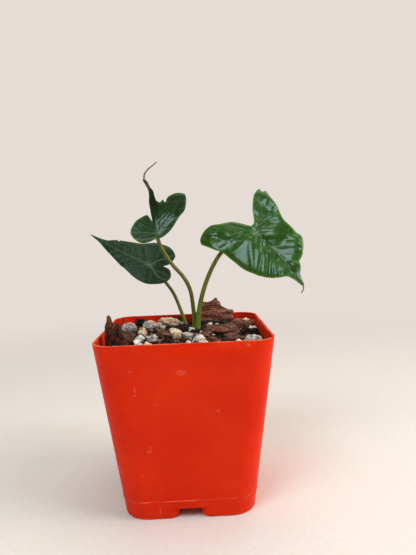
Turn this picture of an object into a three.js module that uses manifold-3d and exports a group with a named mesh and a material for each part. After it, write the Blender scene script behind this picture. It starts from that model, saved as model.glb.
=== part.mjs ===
// A young potted alocasia: three arrow-shaped leaves on upright petioles, rooted in a bark and pumice mix
// that fills a thin-walled square nursery pot with a tapered body, a moulded seam line and four feet.
//
// Units are millimetres and +Z is up. Everything is modelled with the pot's axis on x = y = 0 and its feet
// on z = 0. The pot's front wall faces -Y. The whole group is then moved sideways, so that the part's
// origin is the middle of its bounding box at the height of the feet.

import * as THREE from 'three';
import { ConvexGeometry } from 'three/addons/geometries/ConvexGeometry.js';
import { mergeVertices } from 'three/addons/utils/BufferGeometryUtils.js';
import Module from 'manifold-3d';

const wasm = await Module();
wasm.setup();

// Driving dimensions

const GAP = 0.3; // clearance between pieces that touch
const JOINED = 0.02; // what is finer than this is closed up after a cut
const COARSE = 0.08; // the same for the mix, which has thousands of cuts

const POT = {
  height: 103,
  topHalf: 50,
  baseHalf: 38,
  topCorner: 12,
  baseCorner: 14,
  wall: 1.3,
  footHeight: 6.2,
  footRound: 1.2,
  floorTop: 7.7,
  seamHeight: 11,
  seamProud: 0.35,
  seamSpread: 0.4,
  channelHalf: 6.2,
  channelCorner: 5.5,
  channelMouth: 4.5,
  wellBottom: 1.5,
  centreHole: 5,
  sideHole: 4,
  sideHoleOut: 20,
  cornerSteps: 6,
};

const MIX = {
  edgeTop: 96.6,
  heapRise: 2.9,
  heapSpread: 22,
  heapCentre: [3, 8],
  ripple: 0.55,
  cells: 18,
  crumbs: 38,
  crumbSize: [2.4, 4.6],
};

const CORM = { centre: [5, 13, 86], radii: [7, 7, 11], roots: 7, rootRadius: 0.9, rootSteps: 8 };

const BLADE = { thickness: 0.8, outlineStep: 3, rings: 4 };

const PETIOLE = { sides: 8, steps: 18, underBlade: 0.5 };

// Helpers

const vector = (p) => new THREE.Vector3(...p);

// A repeatable random draw between two numbers.
function draws(seed) {
  let state = seed * 2654435761 >>> 0;
  return (low = 0, high = 1) => {
    state = (state + 0x6d2b79f5) >>> 0;
    let t = Math.imul(state ^ (state >>> 15), state | 1);
    t ^= t + Math.imul(t ^ (t >>> 7), t | 61);
    return low + (high - low) * (((t ^ (t >>> 14)) >>> 0) / 4294967296);
  };
}

function smoothStep(low, high, x) {
  const t = Math.min(1, Math.max(0, (x - low) / (high - low)));
  return t * t * (3 - 2 * t);
}

// A geometry with nothing but its merged points.
function bare(geometry) {
  const copy = geometry.clone();
  copy.deleteAttribute('normal');
  copy.deleteAttribute('uv');
  return mergeVertices(copy, 1e-4);
}

function geometryFrom(points, faces) {
  const geometry = new THREE.BufferGeometry();
  const numbers = points.flatMap((p) => p.toArray());
  geometry.setAttribute('position', new THREE.Float32BufferAttribute(numbers, 3));
  geometry.setIndex(faces);
  return geometry;
}

// The solid inside a closed geometry, with its faces turned outwards.
function solid(geometry) {
  const merged = bare(geometry);
  const vertProperties = new Float32Array(merged.getAttribute('position').array);
  const make = (triVerts) => new wasm.Manifold(new wasm.Mesh({ numProp: 3, vertProperties, triVerts }));
  const triVerts = new Uint32Array(merged.index.array);
  const made = make(triVerts);
  return made.volume() < 0 ? make(triVerts.reverse()) : made;
}

function geometryOf(body) {
  const mesh = body.getMesh();
  const geometry = new THREE.BufferGeometry();
  geometry.setAttribute('position', new THREE.BufferAttribute(mesh.vertProperties, 3));
  geometry.setIndex(new THREE.BufferAttribute(mesh.triVerts, 1));
  geometry.computeVertexNormals();
  return geometry;
}

// The biggest body of a cut solid: scraps that a cut leaves behind are dropped.
function biggest(body, detail = JOINED) {
  const parts = body.simplify(detail).decompose();
  return parts.reduce((best, part) => (part.volume() > best.volume() ? part : best), parts[0]);
}

// The same shape with every face pushed out by the gap.
function grown(geometry, gap) {
  const merged = bare(geometry);
  const position = merged.getAttribute('position');
  const index = merged.index.array;
  const normals = Array.from({ length: position.count }, () => []);
  const corner = (i) => new THREE.Vector3().fromBufferAttribute(position, index[i]);
  for (let i = 0; i < index.length; i += 3) {
    const normal = corner(i + 1).sub(corner(i)).cross(corner(i + 2).sub(corner(i))).normalize();
    [0, 1, 2].forEach((k) => normals[index[i + k]].push(normal));
  }
  normals.forEach((around, i) => {
    const mean = around.reduce((sum, n) => sum.add(n), new THREE.Vector3()).normalize();
    const steepest = Math.min(...around.map((n) => n.dot(mean)));
    const moved = new THREE.Vector3().fromBufferAttribute(position, i);
    moved.addScaledVector(mean, gap / Math.max(steepest, 0.4));
    position.setXYZ(i, moved.x, moved.y, moved.z);
  });
  return merged;
}

// A closed solid through rings of equally many points, each ring counter-clockwise seen from its far side.
function loft(rings) {
  const count = rings[0].length;
  const points = rings.flat();
  const faces = [];
  for (let k = 0; k + 1 < rings.length; k++) {
    for (let i = 0; i < count; i++) {
      const a = k * count + i;
      const b = k * count + ((i + 1) % count);
      faces.push(a, b, b + count, a, b + count, a + count);
    }
  }
  for (const k of [0, rings.length - 1]) {
    const hub = points.length;
    points.push(rings[k].reduce((sum, p) => sum.add(p), new THREE.Vector3()).divideScalar(count));
    for (let i = 0; i < count; i++) {
      const a = k * count + i;
      const b = k * count + ((i + 1) % count);
      faces.push(hub, ...(k === 0 ? [b, a] : [a, b]));
    }
  }
  return geometryFrom(points, faces);
}

// A box outline with a rounding of its own at each corner: (+,+), (-,+), (-,-), (+,-).
function roundedBox(x0, y0, x1, y1, radii, z, steps = POT.cornerSteps) {
  const points = [];
  radii.forEach((radius, quadrant) => {
    const cx = quadrant === 0 || quadrant === 3 ? x1 - radius : x0 + radius;
    const cy = quadrant < 2 ? y1 - radius : y0 + radius;
    for (let k = 0; k <= steps; k++) {
      const angle = (quadrant + k / steps) * Math.PI / 2;
      points.push(new THREE.Vector3(cx + radius * Math.cos(angle), cy + radius * Math.sin(angle), z));
    }
  });
  return points;
}

// A tube along a curve, with its own radius at each step and a round section turned to the path.
function taperedTube(path, radiusAt, sides, steps) {
  const frames = path.computeFrenetFrames(steps);
  const rings = [];
  for (let k = 0; k <= steps; k++) {
    const centre = path.getPointAt(k / steps);
    const radius = radiusAt(k / steps);
    rings.push(Array.from({ length: sides }, (_, i) => {
      const angle = (i / sides) * 2 * Math.PI;
      return centre.clone()
        .addScaledVector(frames.normals[k], radius * Math.cos(angle))
        .addScaledVector(frames.binormals[k], radius * Math.sin(angle));
    }));
  }
  return loft(rings);
}

const materials = {
  pot_plastic: { color: 0xdc2a08, roughness: 0.42 },
  potting_mix: { color: 0x3a2a22, roughness: 0.95 },
  bark: { color: 0x6b4336, roughness: 0.9 },
  charred_bark: { color: 0x2b2422, roughness: 0.85 },
  pumice_grey: { color: 0xa9a49c, roughness: 0.9 },
  pumice_cream: { color: 0xd8c3a4, roughness: 0.9 },
  perlite_white: { color: 0xe9e4db, roughness: 0.9 },
  petiole_green: { color: 0x5f7a2c, roughness: 0.45 },
  leaf_green_glossy: { color: 0x2f6b2d, roughness: 0.25 },
  leaf_green_satin: { color: 0x224d33, roughness: 0.4 },
  corm_brown: { color: 0x8a6a48, roughness: 0.8 },
};

const root = new THREE.Group();
root.name = 'potted_alocasia';

function addPiece(name, slot, body) {
  const piece = new THREE.Mesh(geometryOf(body), new THREE.MeshStandardMaterial({
    ...materials[slot], metalness: 0, flatShading: true,
  }));
  piece.name = name;
  root.add(piece);
}

// Pot: a thin moulded shell. Its half width and corner rounding change evenly with height.

function potOutline(z, inset = 0) {
  const half = THREE.MathUtils.mapLinear(z, 0, POT.height, POT.baseHalf, POT.topHalf) - inset;
  const corner = THREE.MathUtils.mapLinear(z, 0, POT.height, POT.baseCorner, POT.topCorner) - inset;
  return roundedBox(-half, -half, half, half, Array(4).fill(corner), z);
}

// The space inside the wall, from one height to another, set in by the wall and a clearance.
function potRoom(bottom, top, clearance) {
  return solid(loft([potOutline(bottom, POT.wall + clearance), potOutline(top, POT.wall + clearance)]));
}

// The hollow of each foot, which the mix fills down to the foot's own floor.
function footWells(bottom, top, inset) {
  const near = POT.channelHalf + inset;
  const far = (z) => THREE.MathUtils.mapLinear(z, 0, POT.height, POT.baseHalf, POT.topHalf) - inset;
  const inner = POT.channelCorner - inset;
  const outer = POT.baseCorner - inset;
  const ring = (z) => roundedBox(near, near, far(z), far(z), [outer, inner, inner, inner], z);
  const well = loft([ring(bottom), ring(top)]);
  return [0, 1, 2, 3].map((quarter) => solid(well.clone().rotateZ(quarter * Math.PI / 2)));
}

// The cross-shaped channel under the floor that leaves the four feet standing, with rounded foot corners.
function footChannels() {
  const reach = POT.baseHalf + POT.channelMouth * 2;
  const half = POT.channelHalf;
  const corner = POT.channelCorner;
  const mouth = POT.channelMouth;
  const flare = POT.baseHalf + POT.seamProud - mouth;
  const shape = new THREE.Shape();
  const hub = new THREE.Vector2(0, 0);
  const turned = (x, y, quarter) => new THREE.Vector2(x, y).rotateAround(hub, quarter * Math.PI / 2);
  const arc = (cx, cy, radius, from, to) => Array.from({ length: 5 }, (_, k) => {
    const angle = from + (to - from) * k / 4;
    return [cx + radius * Math.cos(angle), cy + radius * Math.sin(angle)];
  });
  const points = [0, 1, 2, 3].flatMap((quarter) => [
    [reach, half + mouth],
    ...arc(flare, half + mouth, mouth, 0, -Math.PI / 2),
    ...arc(half + corner, half + corner, corner, -Math.PI / 2, -Math.PI),
    ...arc(half + mouth, flare, mouth, Math.PI, Math.PI / 2),
    [half + mouth, reach],
  ].map(([x, y]) => turned(x, y, quarter)));
  shape.setFromPoints(points);
  const cross = new THREE.ExtrudeGeometry(shape, { depth: POT.footHeight * 2, bevelEnabled: false });
  return solid(cross.translate(0, 0, -POT.footHeight));
}

function drainHoles() {
  const places = [[0, 0], ...[0, 1, 2, 3].map((quarter) => [
    POT.sideHoleOut * Math.cos(quarter * Math.PI / 2),
    POT.sideHoleOut * Math.sin(quarter * Math.PI / 2),
  ])];
  return places.map(([x, y], i) => {
    const radius = i === 0 ? POT.centreHole : POT.sideHole;
    const hole = new THREE.CylinderGeometry(radius, radius, POT.floorTop * 2, 16);
    return solid(hole.rotateX(Math.PI / 2).translate(x, y, POT.floorTop));
  });
}

function potSolid() {
  const seam = POT.seamHeight;
  let pot = solid(loft([
    potOutline(0, POT.footRound),
    potOutline(POT.footRound * 0.4, POT.footRound * 0.3),
    potOutline(POT.footRound),
    potOutline(seam - POT.seamSpread),
    potOutline(seam, -POT.seamProud),
    potOutline(seam + POT.seamSpread),
    potOutline(POT.height),
  ]));
  pot = pot.subtract(footChannels()).subtract(potRoom(POT.floorTop, POT.height + 2, 0));
  for (const cut of [...footWells(POT.wellBottom, POT.floorTop + 1, POT.wall), ...drainHoles()]) {
    pot = pot.subtract(cut);
  }
  return pot;
}

// Leaves. Each blade is drawn flat, in millimetres from the point where the petiole joins it: x runs along
// the midrib to the tip, and y to the side. It is then bent: its midrib follows a curve through the junction
// and the spine points, its upper face looks towards `face`, and `lift` raises or sinks the point (x, y).

// The distance from the midrib, rounded off at the midrib so that the fold has a soft bottom.
const fromMidrib = (y) => Math.hypot(y, 1.5) - 1.5;

const LEAVES = {
  right: {
    slot: 'leaf_green_glossy',
    junction: [47.9, 8, 160.3],
    spine: [[60.6, -3, 145.2], [71.9, -16, 128.2]],
    face: [-0.14, -0.9, 0.42],
    lift: (x, y) => 0.24 * fromMidrib(y) - 0.0095 * fromMidrib(y) ** 2 - 0.004 * Math.min(x, 0) ** 2
      + 0.5 * Math.sin(x * 0.62 + y * 0.2) * smoothStep(5, 22, Math.abs(y)),
    runs: [
      [[46.8, 0], [42, 1.2], [39.5, 2.6], [36.5, 5.4], [32.5, 7.5], [31, 10], [27, 14], [21.5, 18.5]],
      [[21.5, 18.5], [16.5, 18], [11, 18], [4, 18.4], [-5, 21.6], [-13, 23.2], [-20.5, 24.8]],
      [[-20.5, 24.8], [-21.4, 22.8], [-25.3, 23]],
      [[-25.3, 23], [-24.3, 19.5], [-22.3, 15.9], [-15, 9.2], [-8.6, 5], [-5.9, 2.7], [-5.9, 0.4]],
      [[-5.9, 0.4], [-12.8, -3.6], [-17.6, -7.4], [-21.1, -13.1], [-25, -18.6], [-25, -24.6], [-22.4, -29.6],
        [-18.9, -31.3]],
      [[-18.9, -31.3], [-10, -28], [-4, -25.2], [5, -23.8], [14.4, -22.6], [23.7, -19.3], [28.8, -16.7],
        [32.8, -12.6], [35.5, -7.8], [36.9, -4.2], [42, -1.8], [46.8, 0]],
    ],
    thread: { path: [[71.6, -15.7, 128.8], [71.8, -16, 125.5], [70.4, -16.2, 123.2]], radii: [0.55, 0.32] },
  },
  left: {
    slot: 'leaf_green_satin',
    junction: [-21.4, 14, 141.8],
    spine: [[-39.9, 19, 151.1], [-60.4, 20, 163.2]],
    face: [0.1, -0.85, 0.5],
    lift: (x, y) => 0.12 * fromMidrib(y) - 0.008 * fromMidrib(y) ** 2 - 0.006 * Math.min(x, 0) ** 2
      + 0.3 * Math.sin(x * 0.5 - y * 0.3) * smoothStep(4, 16, Math.abs(y)),
    runs: [
      [[45.1, 0], [36.9, 1.4], [27.4, 4.1], [17.2, 7.4], [4.8, 12.3], [-3.6, 13.3], [-10.6, 9.9],
        [-14.6, 6.1], [-15.8, 1.2], [-12.8, -3.1], [-7.7, -3.2]],
      [[-7.7, -3.2], [-10.6, -6.5], [-11.4, -11], [-10.4, -14.7], [-3.9, -17.9], [5, -17], [13.1, -10.9],
        [22.1, -7.9]],
      [[22.1, -7.9], [23, -6.7], [24, -7.3]],
      [[24, -7.3], [27.4, -5.8], [32.4, -2.7], [38.9, -0.8], [45.1, 0]],
    ],
  },
  middle: {
    slot: 'leaf_green_glossy',
    junction: [-14.2, -6, 162],
    spine: [[-15.9, -3, 170.6], [-16.7, -3, 178.5], [-17.4, -4, 185.1], [-19.2, -5, 190.1],
      [-21.2, -6, 194.3]],
    face: [0.05, -0.8, 0.55],
    lift: (x, y) => 0.018 * y ** 2 + 0.012 * Math.min(x, 0) ** 2,
    runs: [
      [[19, 0.6], [20.5, -2.2]],
      [[20.5, -2.2], [18.8, -4.7]],
      [[18.8, -4.7], [20.4, -6.7]],
      [[20.4, -6.7], [18.5, -7.7]],
      [[18.5, -7.7], [19.3, -8.7], [21.4, -10], [22.5, -14.1], [22.3, -18], [21.2, -20], [15.8, -19.6],
        [9.9, -17.6], [6.7, -14.8], [0.5, -8.9], [-3, -3.1], [-3.3, 1.2], [-4.5, 6.7], [-4.6, 10.7],
        [-2.5, 13.5], [1.7, 15.9], [8.2, 12.1], [11.1, 8], [12.2, 4.2], [10.4, 2.8], [8, 1.6]],
      [[8, 1.6], [19, 0.6]],
    ],
    // The torn blade goes on as a narrow twisted strip: distance from the junction, left edge, right edge.
    strip: {
      thickness: 1.1,
      twist: Math.PI * 0.4,
      twistFrom: 18,
      stations: [[4, 0.9, -0.9], [9, 1.7, -1.6], [14, 1.9, -1.9], [20, 1.9, -2], [26, 1.4, -1.8],
        [30, 0.9, -1.6], [34, 0.5, -0.9]],
    },
    thread: {
      path: [[-21, -6, 193.4], [-20.4, -6, 197.4], [-18, -7, 200.1], [-15.1, -8, 202.1], [-12.7, -9, 203.9]],
      radii: [0.5, 0.3],
    },
  },
};

// Where a leaf's midrib is at a distance from the junction, with its directions along, across and up.
function ribFrame(leaf, x) {
  const points = [leaf.junction, ...leaf.spine].map(vector);
  leaf.curve ??= new THREE.CatmullRomCurve3(points, false, 'catmullrom', 0.5);
  const u = Math.min(1, Math.max(0, x / leaf.curve.getLength()));
  const along = leaf.curve.getTangentAt(u);
  const point = leaf.curve.getPointAt(u);
  if (x < 0) {
    point.addScaledVector(along, x);
  }
  const across = vector(leaf.face).cross(along).normalize();
  return { point, along, across, up: along.clone().cross(across) };
}

function bladePoint(leaf, x, y) {
  const frame = ribFrame(leaf, x);
  return frame.point.addScaledVector(frame.across, y).addScaledVector(frame.up, leaf.lift(x, y));
}

// The direction square to the bent blade, on its upper side.
function bladeNormal(leaf, x, y) {
  const e = 0.2;
  const dx = bladePoint(leaf, x + e, y).sub(bladePoint(leaf, x - e, y));
  const dy = bladePoint(leaf, x, y + e).sub(bladePoint(leaf, x, y - e));
  return dx.cross(dy).normalize();
}

// The flat outline: each run is a smooth curve, and runs meet at corners.
function bladeOutline(leaf) {
  return leaf.runs.flatMap((run) => {
    const curve = new THREE.SplineCurve(run.map(([x, y]) => new THREE.Vector2(x, y)));
    const steps = Math.max(1, Math.round(curve.getLength() / BLADE.outlineStep));
    return curve.getSpacedPoints(steps).slice(0, -1);
  });
}

// A blade of even thickness: spokes run from the junction to the outline and rings cross them. Both faces
// have the same triangles, so they can't cross where the blade is waved.
function bladeGeometry(leaf, thickness) {
  const outline = bladeOutline(leaf);
  const count = outline.length;
  const flat = [new THREE.Vector2(0, 0)];
  for (let ring = 1; ring <= BLADE.rings; ring++) {
    outline.forEach((p) => flat.push(p.clone().multiplyScalar(ring / BLADE.rings)));
  }
  const side = (offset) => flat.map((p) => bladePoint(leaf, p.x, p.y)
    .addScaledVector(bladeNormal(leaf, p.x, p.y), offset));
  const points = [...side(thickness / 2), ...side(-thickness / 2)];
  const under = flat.length;
  const at = (ring, i) => 1 + (ring - 1) * count + (i % count);
  const faces = [];
  const both = (a, b, c) => faces.push(a, b, c, under + a, under + c, under + b);
  for (let i = 0; i < count; i++) {
    both(0, at(1, i), at(1, i + 1));
    for (let ring = 1; ring < BLADE.rings; ring++) {
      both(at(ring, i), at(ring + 1, i), at(ring + 1, i + 1));
      both(at(ring, i), at(ring + 1, i + 1), at(ring, i + 1));
    }
    const a = at(BLADE.rings, i);
    const b = at(BLADE.rings, i + 1);
    faces.push(a, under + a, under + b, a, under + b, b);
  }
  return geometryFrom(points, faces);
}

// The narrow twisted strip that is left of a torn blade beyond its lobes.
function stripGeometry(leaf) {
  const { stations, thickness, twist, twistFrom } = leaf.strip;
  const end = stations.at(-1)[0];
  const edge = thickness * 0.45;
  const rings = [];
  for (let k = 0; k + 1 < stations.length; k++) {
    for (const part of k + 2 < stations.length ? [0, 0.5] : [0, 0.5, 1]) {
      const between = (value, i) => THREE.MathUtils.lerp(value, stations[k + 1][i], part);
      const [x, left, right] = stations[k].map(between);
      const frame = ribFrame(leaf, x);
      const angle = twist * smoothStep(twistFrom, end, x);
      const across = frame.across.clone().applyAxisAngle(frame.along, angle);
      const up = frame.up.clone().applyAxisAngle(frame.along, angle);
      const section = [[left, 0], [left - edge, thickness / 2], [right + edge, thickness / 2], [right, 0],
        [right + edge, -thickness / 2], [left - edge, -thickness / 2]];
      const placed = ([y, z]) => frame.point.clone().addScaledVector(across, y).addScaledVector(up, z);
      rings.push(section.map(placed));
    }
  }
  return loft(rings);
}

function threadGeometry({ path, radii }) {
  const curve = new THREE.CatmullRomCurve3(path.map(vector));
  return taperedTube(curve, (u) => THREE.MathUtils.lerp(...radii, u), 6, path.length * 3);
}

function bladeSolid(leaf) {
  let blade = solid(bladeGeometry(leaf, BLADE.thickness));
  if (leaf.strip) {
    blade = blade.add(solid(stripGeometry(leaf)));
  }
  if (leaf.thread) {
    blade = blade.add(solid(threadGeometry(leaf.thread)));
  }
  return biggest(blade);
}

// Petioles: round stalks from the corm to the underside of each blade.

const PETIOLES = {
  right: {
    radii: [1.75, 1.25],
    path: [[8, 10.6, 95.4], [8.2, 11, 101], [9.6, 12.5, 112.2], [13.1, 13, 125.1], [18.6, 13.5, 137.9],
      [25, 14, 147.7], [36.3, 13, 156.9]],
  },
  middle: {
    radii: [1.5, 1.15],
    path: [[5.2, 14.8, 95.4], [6, 15, 101], [5.6, 13, 112.3], [4.1, 9, 124.9], [0.5, 6, 133.2],
      [-6.7, 2.5, 142.5], [-11.8, -0.5, 151.3], [-14.2, -3, 157.8]],
  },
  left: {
    radii: [1.3, 1],
    path: [[1, 18.2, 95.4], [0.1, 18.8, 101], [-3.6, 20, 112.7], [-7.3, 21, 122], [-11.7, 21, 128.8],
      [-17.5, 19, 136.4]],
  },
};

function petiolePath(name) {
  const leaf = LEAVES[name];
  const end = vector(leaf.junction).addScaledVector(ribFrame(leaf, 0).up, -PETIOLE.underBlade);
  return new THREE.CatmullRomCurve3([...PETIOLES[name].path.map(vector), end]);
}

function petioleGeometry(name, clearance) {
  const radiusAt = (u) => THREE.MathUtils.lerp(...PETIOLES[name].radii, Math.sqrt(u)) + clearance;
  return taperedTube(petiolePath(name), radiusAt, PETIOLE.sides, PETIOLE.steps);
}

// The corm that the petioles rise from, with the roots that hold the plant in the mix.
function cormGeometries(clearance) {
  const corm = new THREE.SphereGeometry(1, 12, 8).rotateX(Math.PI / 2);
  corm.scale(...CORM.radii.map((r) => r + clearance)).translate(...CORM.centre);
  const [x0, y0, z0] = CORM.centre;
  const roots = Array.from({ length: CORM.roots }, (_, i) => {
    const turn = (i / CORM.roots) * 2 * Math.PI + 0.4;
    const steps = [0, 1, 2, 3].map((k) => {
      const out = 2 + 8 * k;
      const down = 2 + 3 * k + 3.2 * k * k;
      const sway = turn + 0.25 * Math.sin(k * 1.7 + i);
      return new THREE.Vector3(x0 + out * Math.cos(sway), y0 + out * Math.sin(sway), z0 - down);
    });
    const radius = (u) => THREE.MathUtils.lerp(1.3, 0.7, u) * CORM.rootRadius + clearance;
    return taperedTube(new THREE.CatmullRomCurve3(steps), radius, 5, CORM.rootSteps);
  });
  return [corm, ...roots];
}

const joined = (geometries) => geometries.map(solid).reduce((sum, part) => sum.add(part));

// Topping: the bark pieces and stones that lie in the surface of the mix.

// An angular grain: a hull over directions spread by the golden angle, each drawn in a little at random.
function grainGeometry({ seed, size, flat = 0.16, count = 18 }) {
  const draw = draws(seed);
  const points = Array.from({ length: count }, (_, i) => {
    const z = 1 - (2 * i + 1) / count;
    const angle = i * 2.399963 + draw(0, 0.6);
    const ring = Math.sqrt(1 - z * z);
    const pull = draw(1 - 2 * flat, 1);
    return new THREE.Vector3(ring * Math.cos(angle), ring * Math.sin(angle), z).multiplyScalar(pull)
      .multiply(vector(size)).multiplyScalar(0.5);
  });
  return new ConvexGeometry(points);
}

// A flake of bark: a hull over two ragged outlines, the lower one a little smaller and slid to one side.
function flakeGeometry({ seed, size }) {
  const draw = draws(seed);
  const [length, width, thick] = size;
  const sides = 9;
  const points = [];
  for (const level of [-0.5, 0, 0.5]) {
    for (let i = 0; i < sides; i++) {
      const angle = ((i + draw(-0.3, 0.3)) / sides) * 2 * Math.PI;
      const reach = draw(0.78, 1) * (level === 0 ? 1 : 0.86);
      const squareness = Math.max(Math.abs(Math.cos(angle)), Math.abs(Math.sin(angle))) ** -0.45;
      points.push(new THREE.Vector3(
        0.5 * length * reach * squareness * Math.cos(angle) + level * thick * 0.4,
        0.5 * width * reach * squareness * Math.sin(angle),
        thick * (level + draw(-0.12, 0.12)),
      ));
    }
  }
  return new ConvexGeometry(points);
}

// A torn slab of bark that stands on edge, drawn in x and z. It leans back from the level of the mix by an
// angle in degrees.
function slabGeometry({ outline, thick, y, lean }) {
  const shape = new THREE.Shape(outline.map(([x, z]) => new THREE.Vector2(x, z)));
  const bevel = 0.5;
  const slab = new THREE.ExtrudeGeometry(shape, {
    depth: thick - 2 * bevel, bevelThickness: bevel, bevelSize: bevel, bevelOffset: -bevel, bevelSegments: 1,
  });
  slab.rotateX(Math.PI / 2).translate(0, thick / 2 - bevel, -MIX.edgeTop);
  return slab.rotateX(THREE.MathUtils.degToRad(lean)).translate(0, y, MIX.edgeTop);
}

// A thin curled strip of bark.
function curlGeometry({ path, radii }) {
  const curve = new THREE.CatmullRomCurve3(path.map(vector));
  return taperedTube(curve, (u) => THREE.MathUtils.lerp(...radii, u), 6, 8);
}

const SHAPES = { grain: grainGeometry, flake: flakeGeometry, slab: slabGeometry, curl: curlGeometry };

const grain = (slot, seed, size, at, turn = [0, 0, 0]) => ({ form: 'grain', slot, seed, size, at, turn });
const flake = (slot, seed, size, at, turn = [0, 0, 0]) => ({ form: 'flake', slot, seed, size, at, turn });

// Each piece: its finish, the seed of its shape, its size, the place of its middle and its turn about x, y and z
// in degrees. A piece further down the list gives way where it meets one above it.
const TOPPING = {
  bark_slab_back: {
    form: 'slab', slot: 'bark', thick: 3.6, y: 37, lean: -12,
    outline: [[7, 95], [8, 108], [12, 114], [15, 112.6], [18, 113], [22, 115.5], [25, 111], [30, 107.5],
      [33, 106.5], [33.5, 100], [28, 95]],
  },
  bark_spike_left: {
    form: 'slab', slot: 'bark', thick: 4, y: -22, lean: 4,
    outline: [[-46, 95], [-45.5, 103], [-44.6, 109], [-43.4, 115], [-42.2, 109.5], [-41.4, 102], [-41, 95]],
  },
  bark_chunk_left: {
    form: 'slab', slot: 'bark', thick: 7.5, y: -24, lean: 8,
    outline: [[-43.5, 95], [-42, 104], [-40.5, 110], [-37.5, 111], [-35.5, 106.5], [-31.5, 103.5],
      [-28.5, 99.5], [-29, 95]],
  },
  bark_flake_right: flake('bark', 11, [27, 12.5, 6.5], [22, -3, 99.8], [24, 2, -3]),
  bark_flake_far_right: flake('bark', 12, [16, 10, 5], [38, 16, 99.6], [14, 6, -8]),
  bark_flake_low_right: flake('charred_bark', 13, [10, 8, 5], [41, -3, 98], [8, -6, 20]),
  bark_strip_dark: flake('charred_bark', 14, [18, 6, 4], [27, 22, 99.6], [12, 8, -12]),
  bark_flake_front: flake('bark', 15, [14, 8.5, 4.5], [28, -22, 98.4], [6, 4, 6]),
  bark_dark_middle: flake('charred_bark', 16, [19, 12, 5], [-5, 4, 99.4], [16, -3, 8]),
  bark_red_front: flake('bark', 17, [13, 10, 6], [-13, -11, 99], [10, 8, -20]),
  bark_crumb_back: grain('charred_bark', 18, [14, 6, 7], [-4, 41, 99.6], [0, 0, 8]),
  charcoal_left: grain('charred_bark', 19, [10, 7, 8], [-32, 38, 99.8], [0, 0, 20]),
  bark_curl_front: {
    form: 'curl', slot: 'bark', radii: [1.2, 0.8],
    path: [[11, -17, 100.6], [13.5, -20.5, 100.4], [16.4, -24.5, 99.4], [20, -28, 97.6]],
  },
  stone_grey_left: grain('pumice_grey', 31, [11, 8, 9], [-37, 13, 100.6]),
  stone_tan_back: grain('pumice_cream', 32, [17, 10, 8], [-11, 32, 100.2], [8, 12, 0]),
  stone_cream_front: grain('pumice_cream', 33, [9.5, 7, 7], [-6, -12, 100.8], [0, 18, 0]),
  stone_grey_left_small: grain('pumice_grey', 34, [8.5, 7, 6.5], [-25, 20, 99.8]),
  stone_cream_left: grain('pumice_cream', 35, [7, 6, 7.5], [-27, 1, 99.8]),
  stone_white_left: grain('perlite_white', 36, [5.5, 5, 5], [-27, -17, 99.2]),
  stone_white_left_front: grain('perlite_white', 37, [6.5, 5.5, 5.5], [-28, -26, 98.9]),
  stone_grey_middle: grain('pumice_grey', 38, [7, 5.5, 5.5], [-19, -17, 99]),
  stone_tan_middle: grain('pumice_cream', 39, [8, 6, 4.5], [-20, 26, 99.4]),
  stone_flat_front: grain('pumice_cream', 40, [5, 4.5, 3.5], [-21, -29, 98.2]),
  stone_grey_crumb: grain('pumice_grey', 41, [4, 3.5, 3.5], [-15, 17, 99.6]),
  perlite_right_back: grain('perlite_white', 42, [7, 5.5, 5], [41, 34, 98.6]),
  stone_grey_right: grain('pumice_grey', 43, [11.5, 8, 6], [40, -27, 98.6], [0, 0, 8]),
  perlite_right_front: grain('perlite_white', 44, [5, 4.5, 4], [31.5, -31, 98]),
  perlite_crumb_right: grain('perlite_white', 45, [4.5, 3.5, 3.5], [16, 12, 100.8]),
  stone_tan_right: grain('pumice_cream', 46, [4.5, 3.5, 3.5], [21, 12.5, 100.4]),
  perlite_front: grain('perlite_white', 47, [6.5, 6, 5], [9, -22, 99.4]),
  stone_grey_front: grain('pumice_grey', 48, [6, 5.5, 5], [2, -13, 99.7]),
  perlite_crumb_front: grain('perlite_white', 49, [4, 3.5, 3.5], [4, 1, 100.6]),
  stone_tan_front: grain('pumice_cream', 50, [6.5, 5, 4], [11, -31, 98.3]),
  perlite_front_low: grain('perlite_white', 51, [4.5, 3.5, 3.5], [3, -30, 98.3]),
  bark_front_left: flake('bark', 61, [15, 8, 5], [-9, -39, 97.2], [4, 3, 10]),
  bark_front_right: flake('bark', 62, [11, 8, 4], [22, -40, 97], [3, -4, -25]),
  bark_side_left: flake('bark', 63, [9, 13, 5], [-41, -4, 98.2], [2, -8, 6]),
  bark_back_left: flake('bark', 64, [13, 8, 5], [-39, 27, 98], [6, 3, 35]),
  bark_back_right: flake('charred_bark', 65, [12, 8, 4.5], [14, 26, 98.8], [-6, 4, 30]),
  stone_front_corner: grain('pumice_grey', 66, [7, 6, 5.5], [-38, -39, 97.6]),
  stone_back_corner: grain('pumice_cream', 67, [7, 6, 5.5], [-26, 43, 98]),
  perlite_right_side: grain('perlite_white', 68, [6, 5, 5], [43, 4, 98.4]),
};

function toppingGeometry(piece) {
  const geometry = SHAPES[piece.form](piece);
  if (piece.turn) {
    const [rx, ry, rz] = piece.turn.map(THREE.MathUtils.degToRad);
    geometry.applyMatrix4(new THREE.Matrix4().makeRotationFromEuler(new THREE.Euler(rx, ry, rz, 'ZYX')));
    geometry.translate(...piece.at);
  }
  return geometry;
}

// Mix: fills the pot and its feet. Its top is heaped round the plant and broken up by ripples and crumbs.

function mixTop(x, y) {
  const [cx, cy] = MIX.heapCentre;
  const heap = MIX.heapRise * Math.exp(-((x - cx) ** 2 + (y - cy) ** 2) / (2 * MIX.heapSpread ** 2));
  return MIX.edgeTop + heap + MIX.ripple * Math.sin(x * 0.42 + 1.3 * Math.sin(y * 0.23)) * Math.cos(y * 0.37);
}

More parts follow.
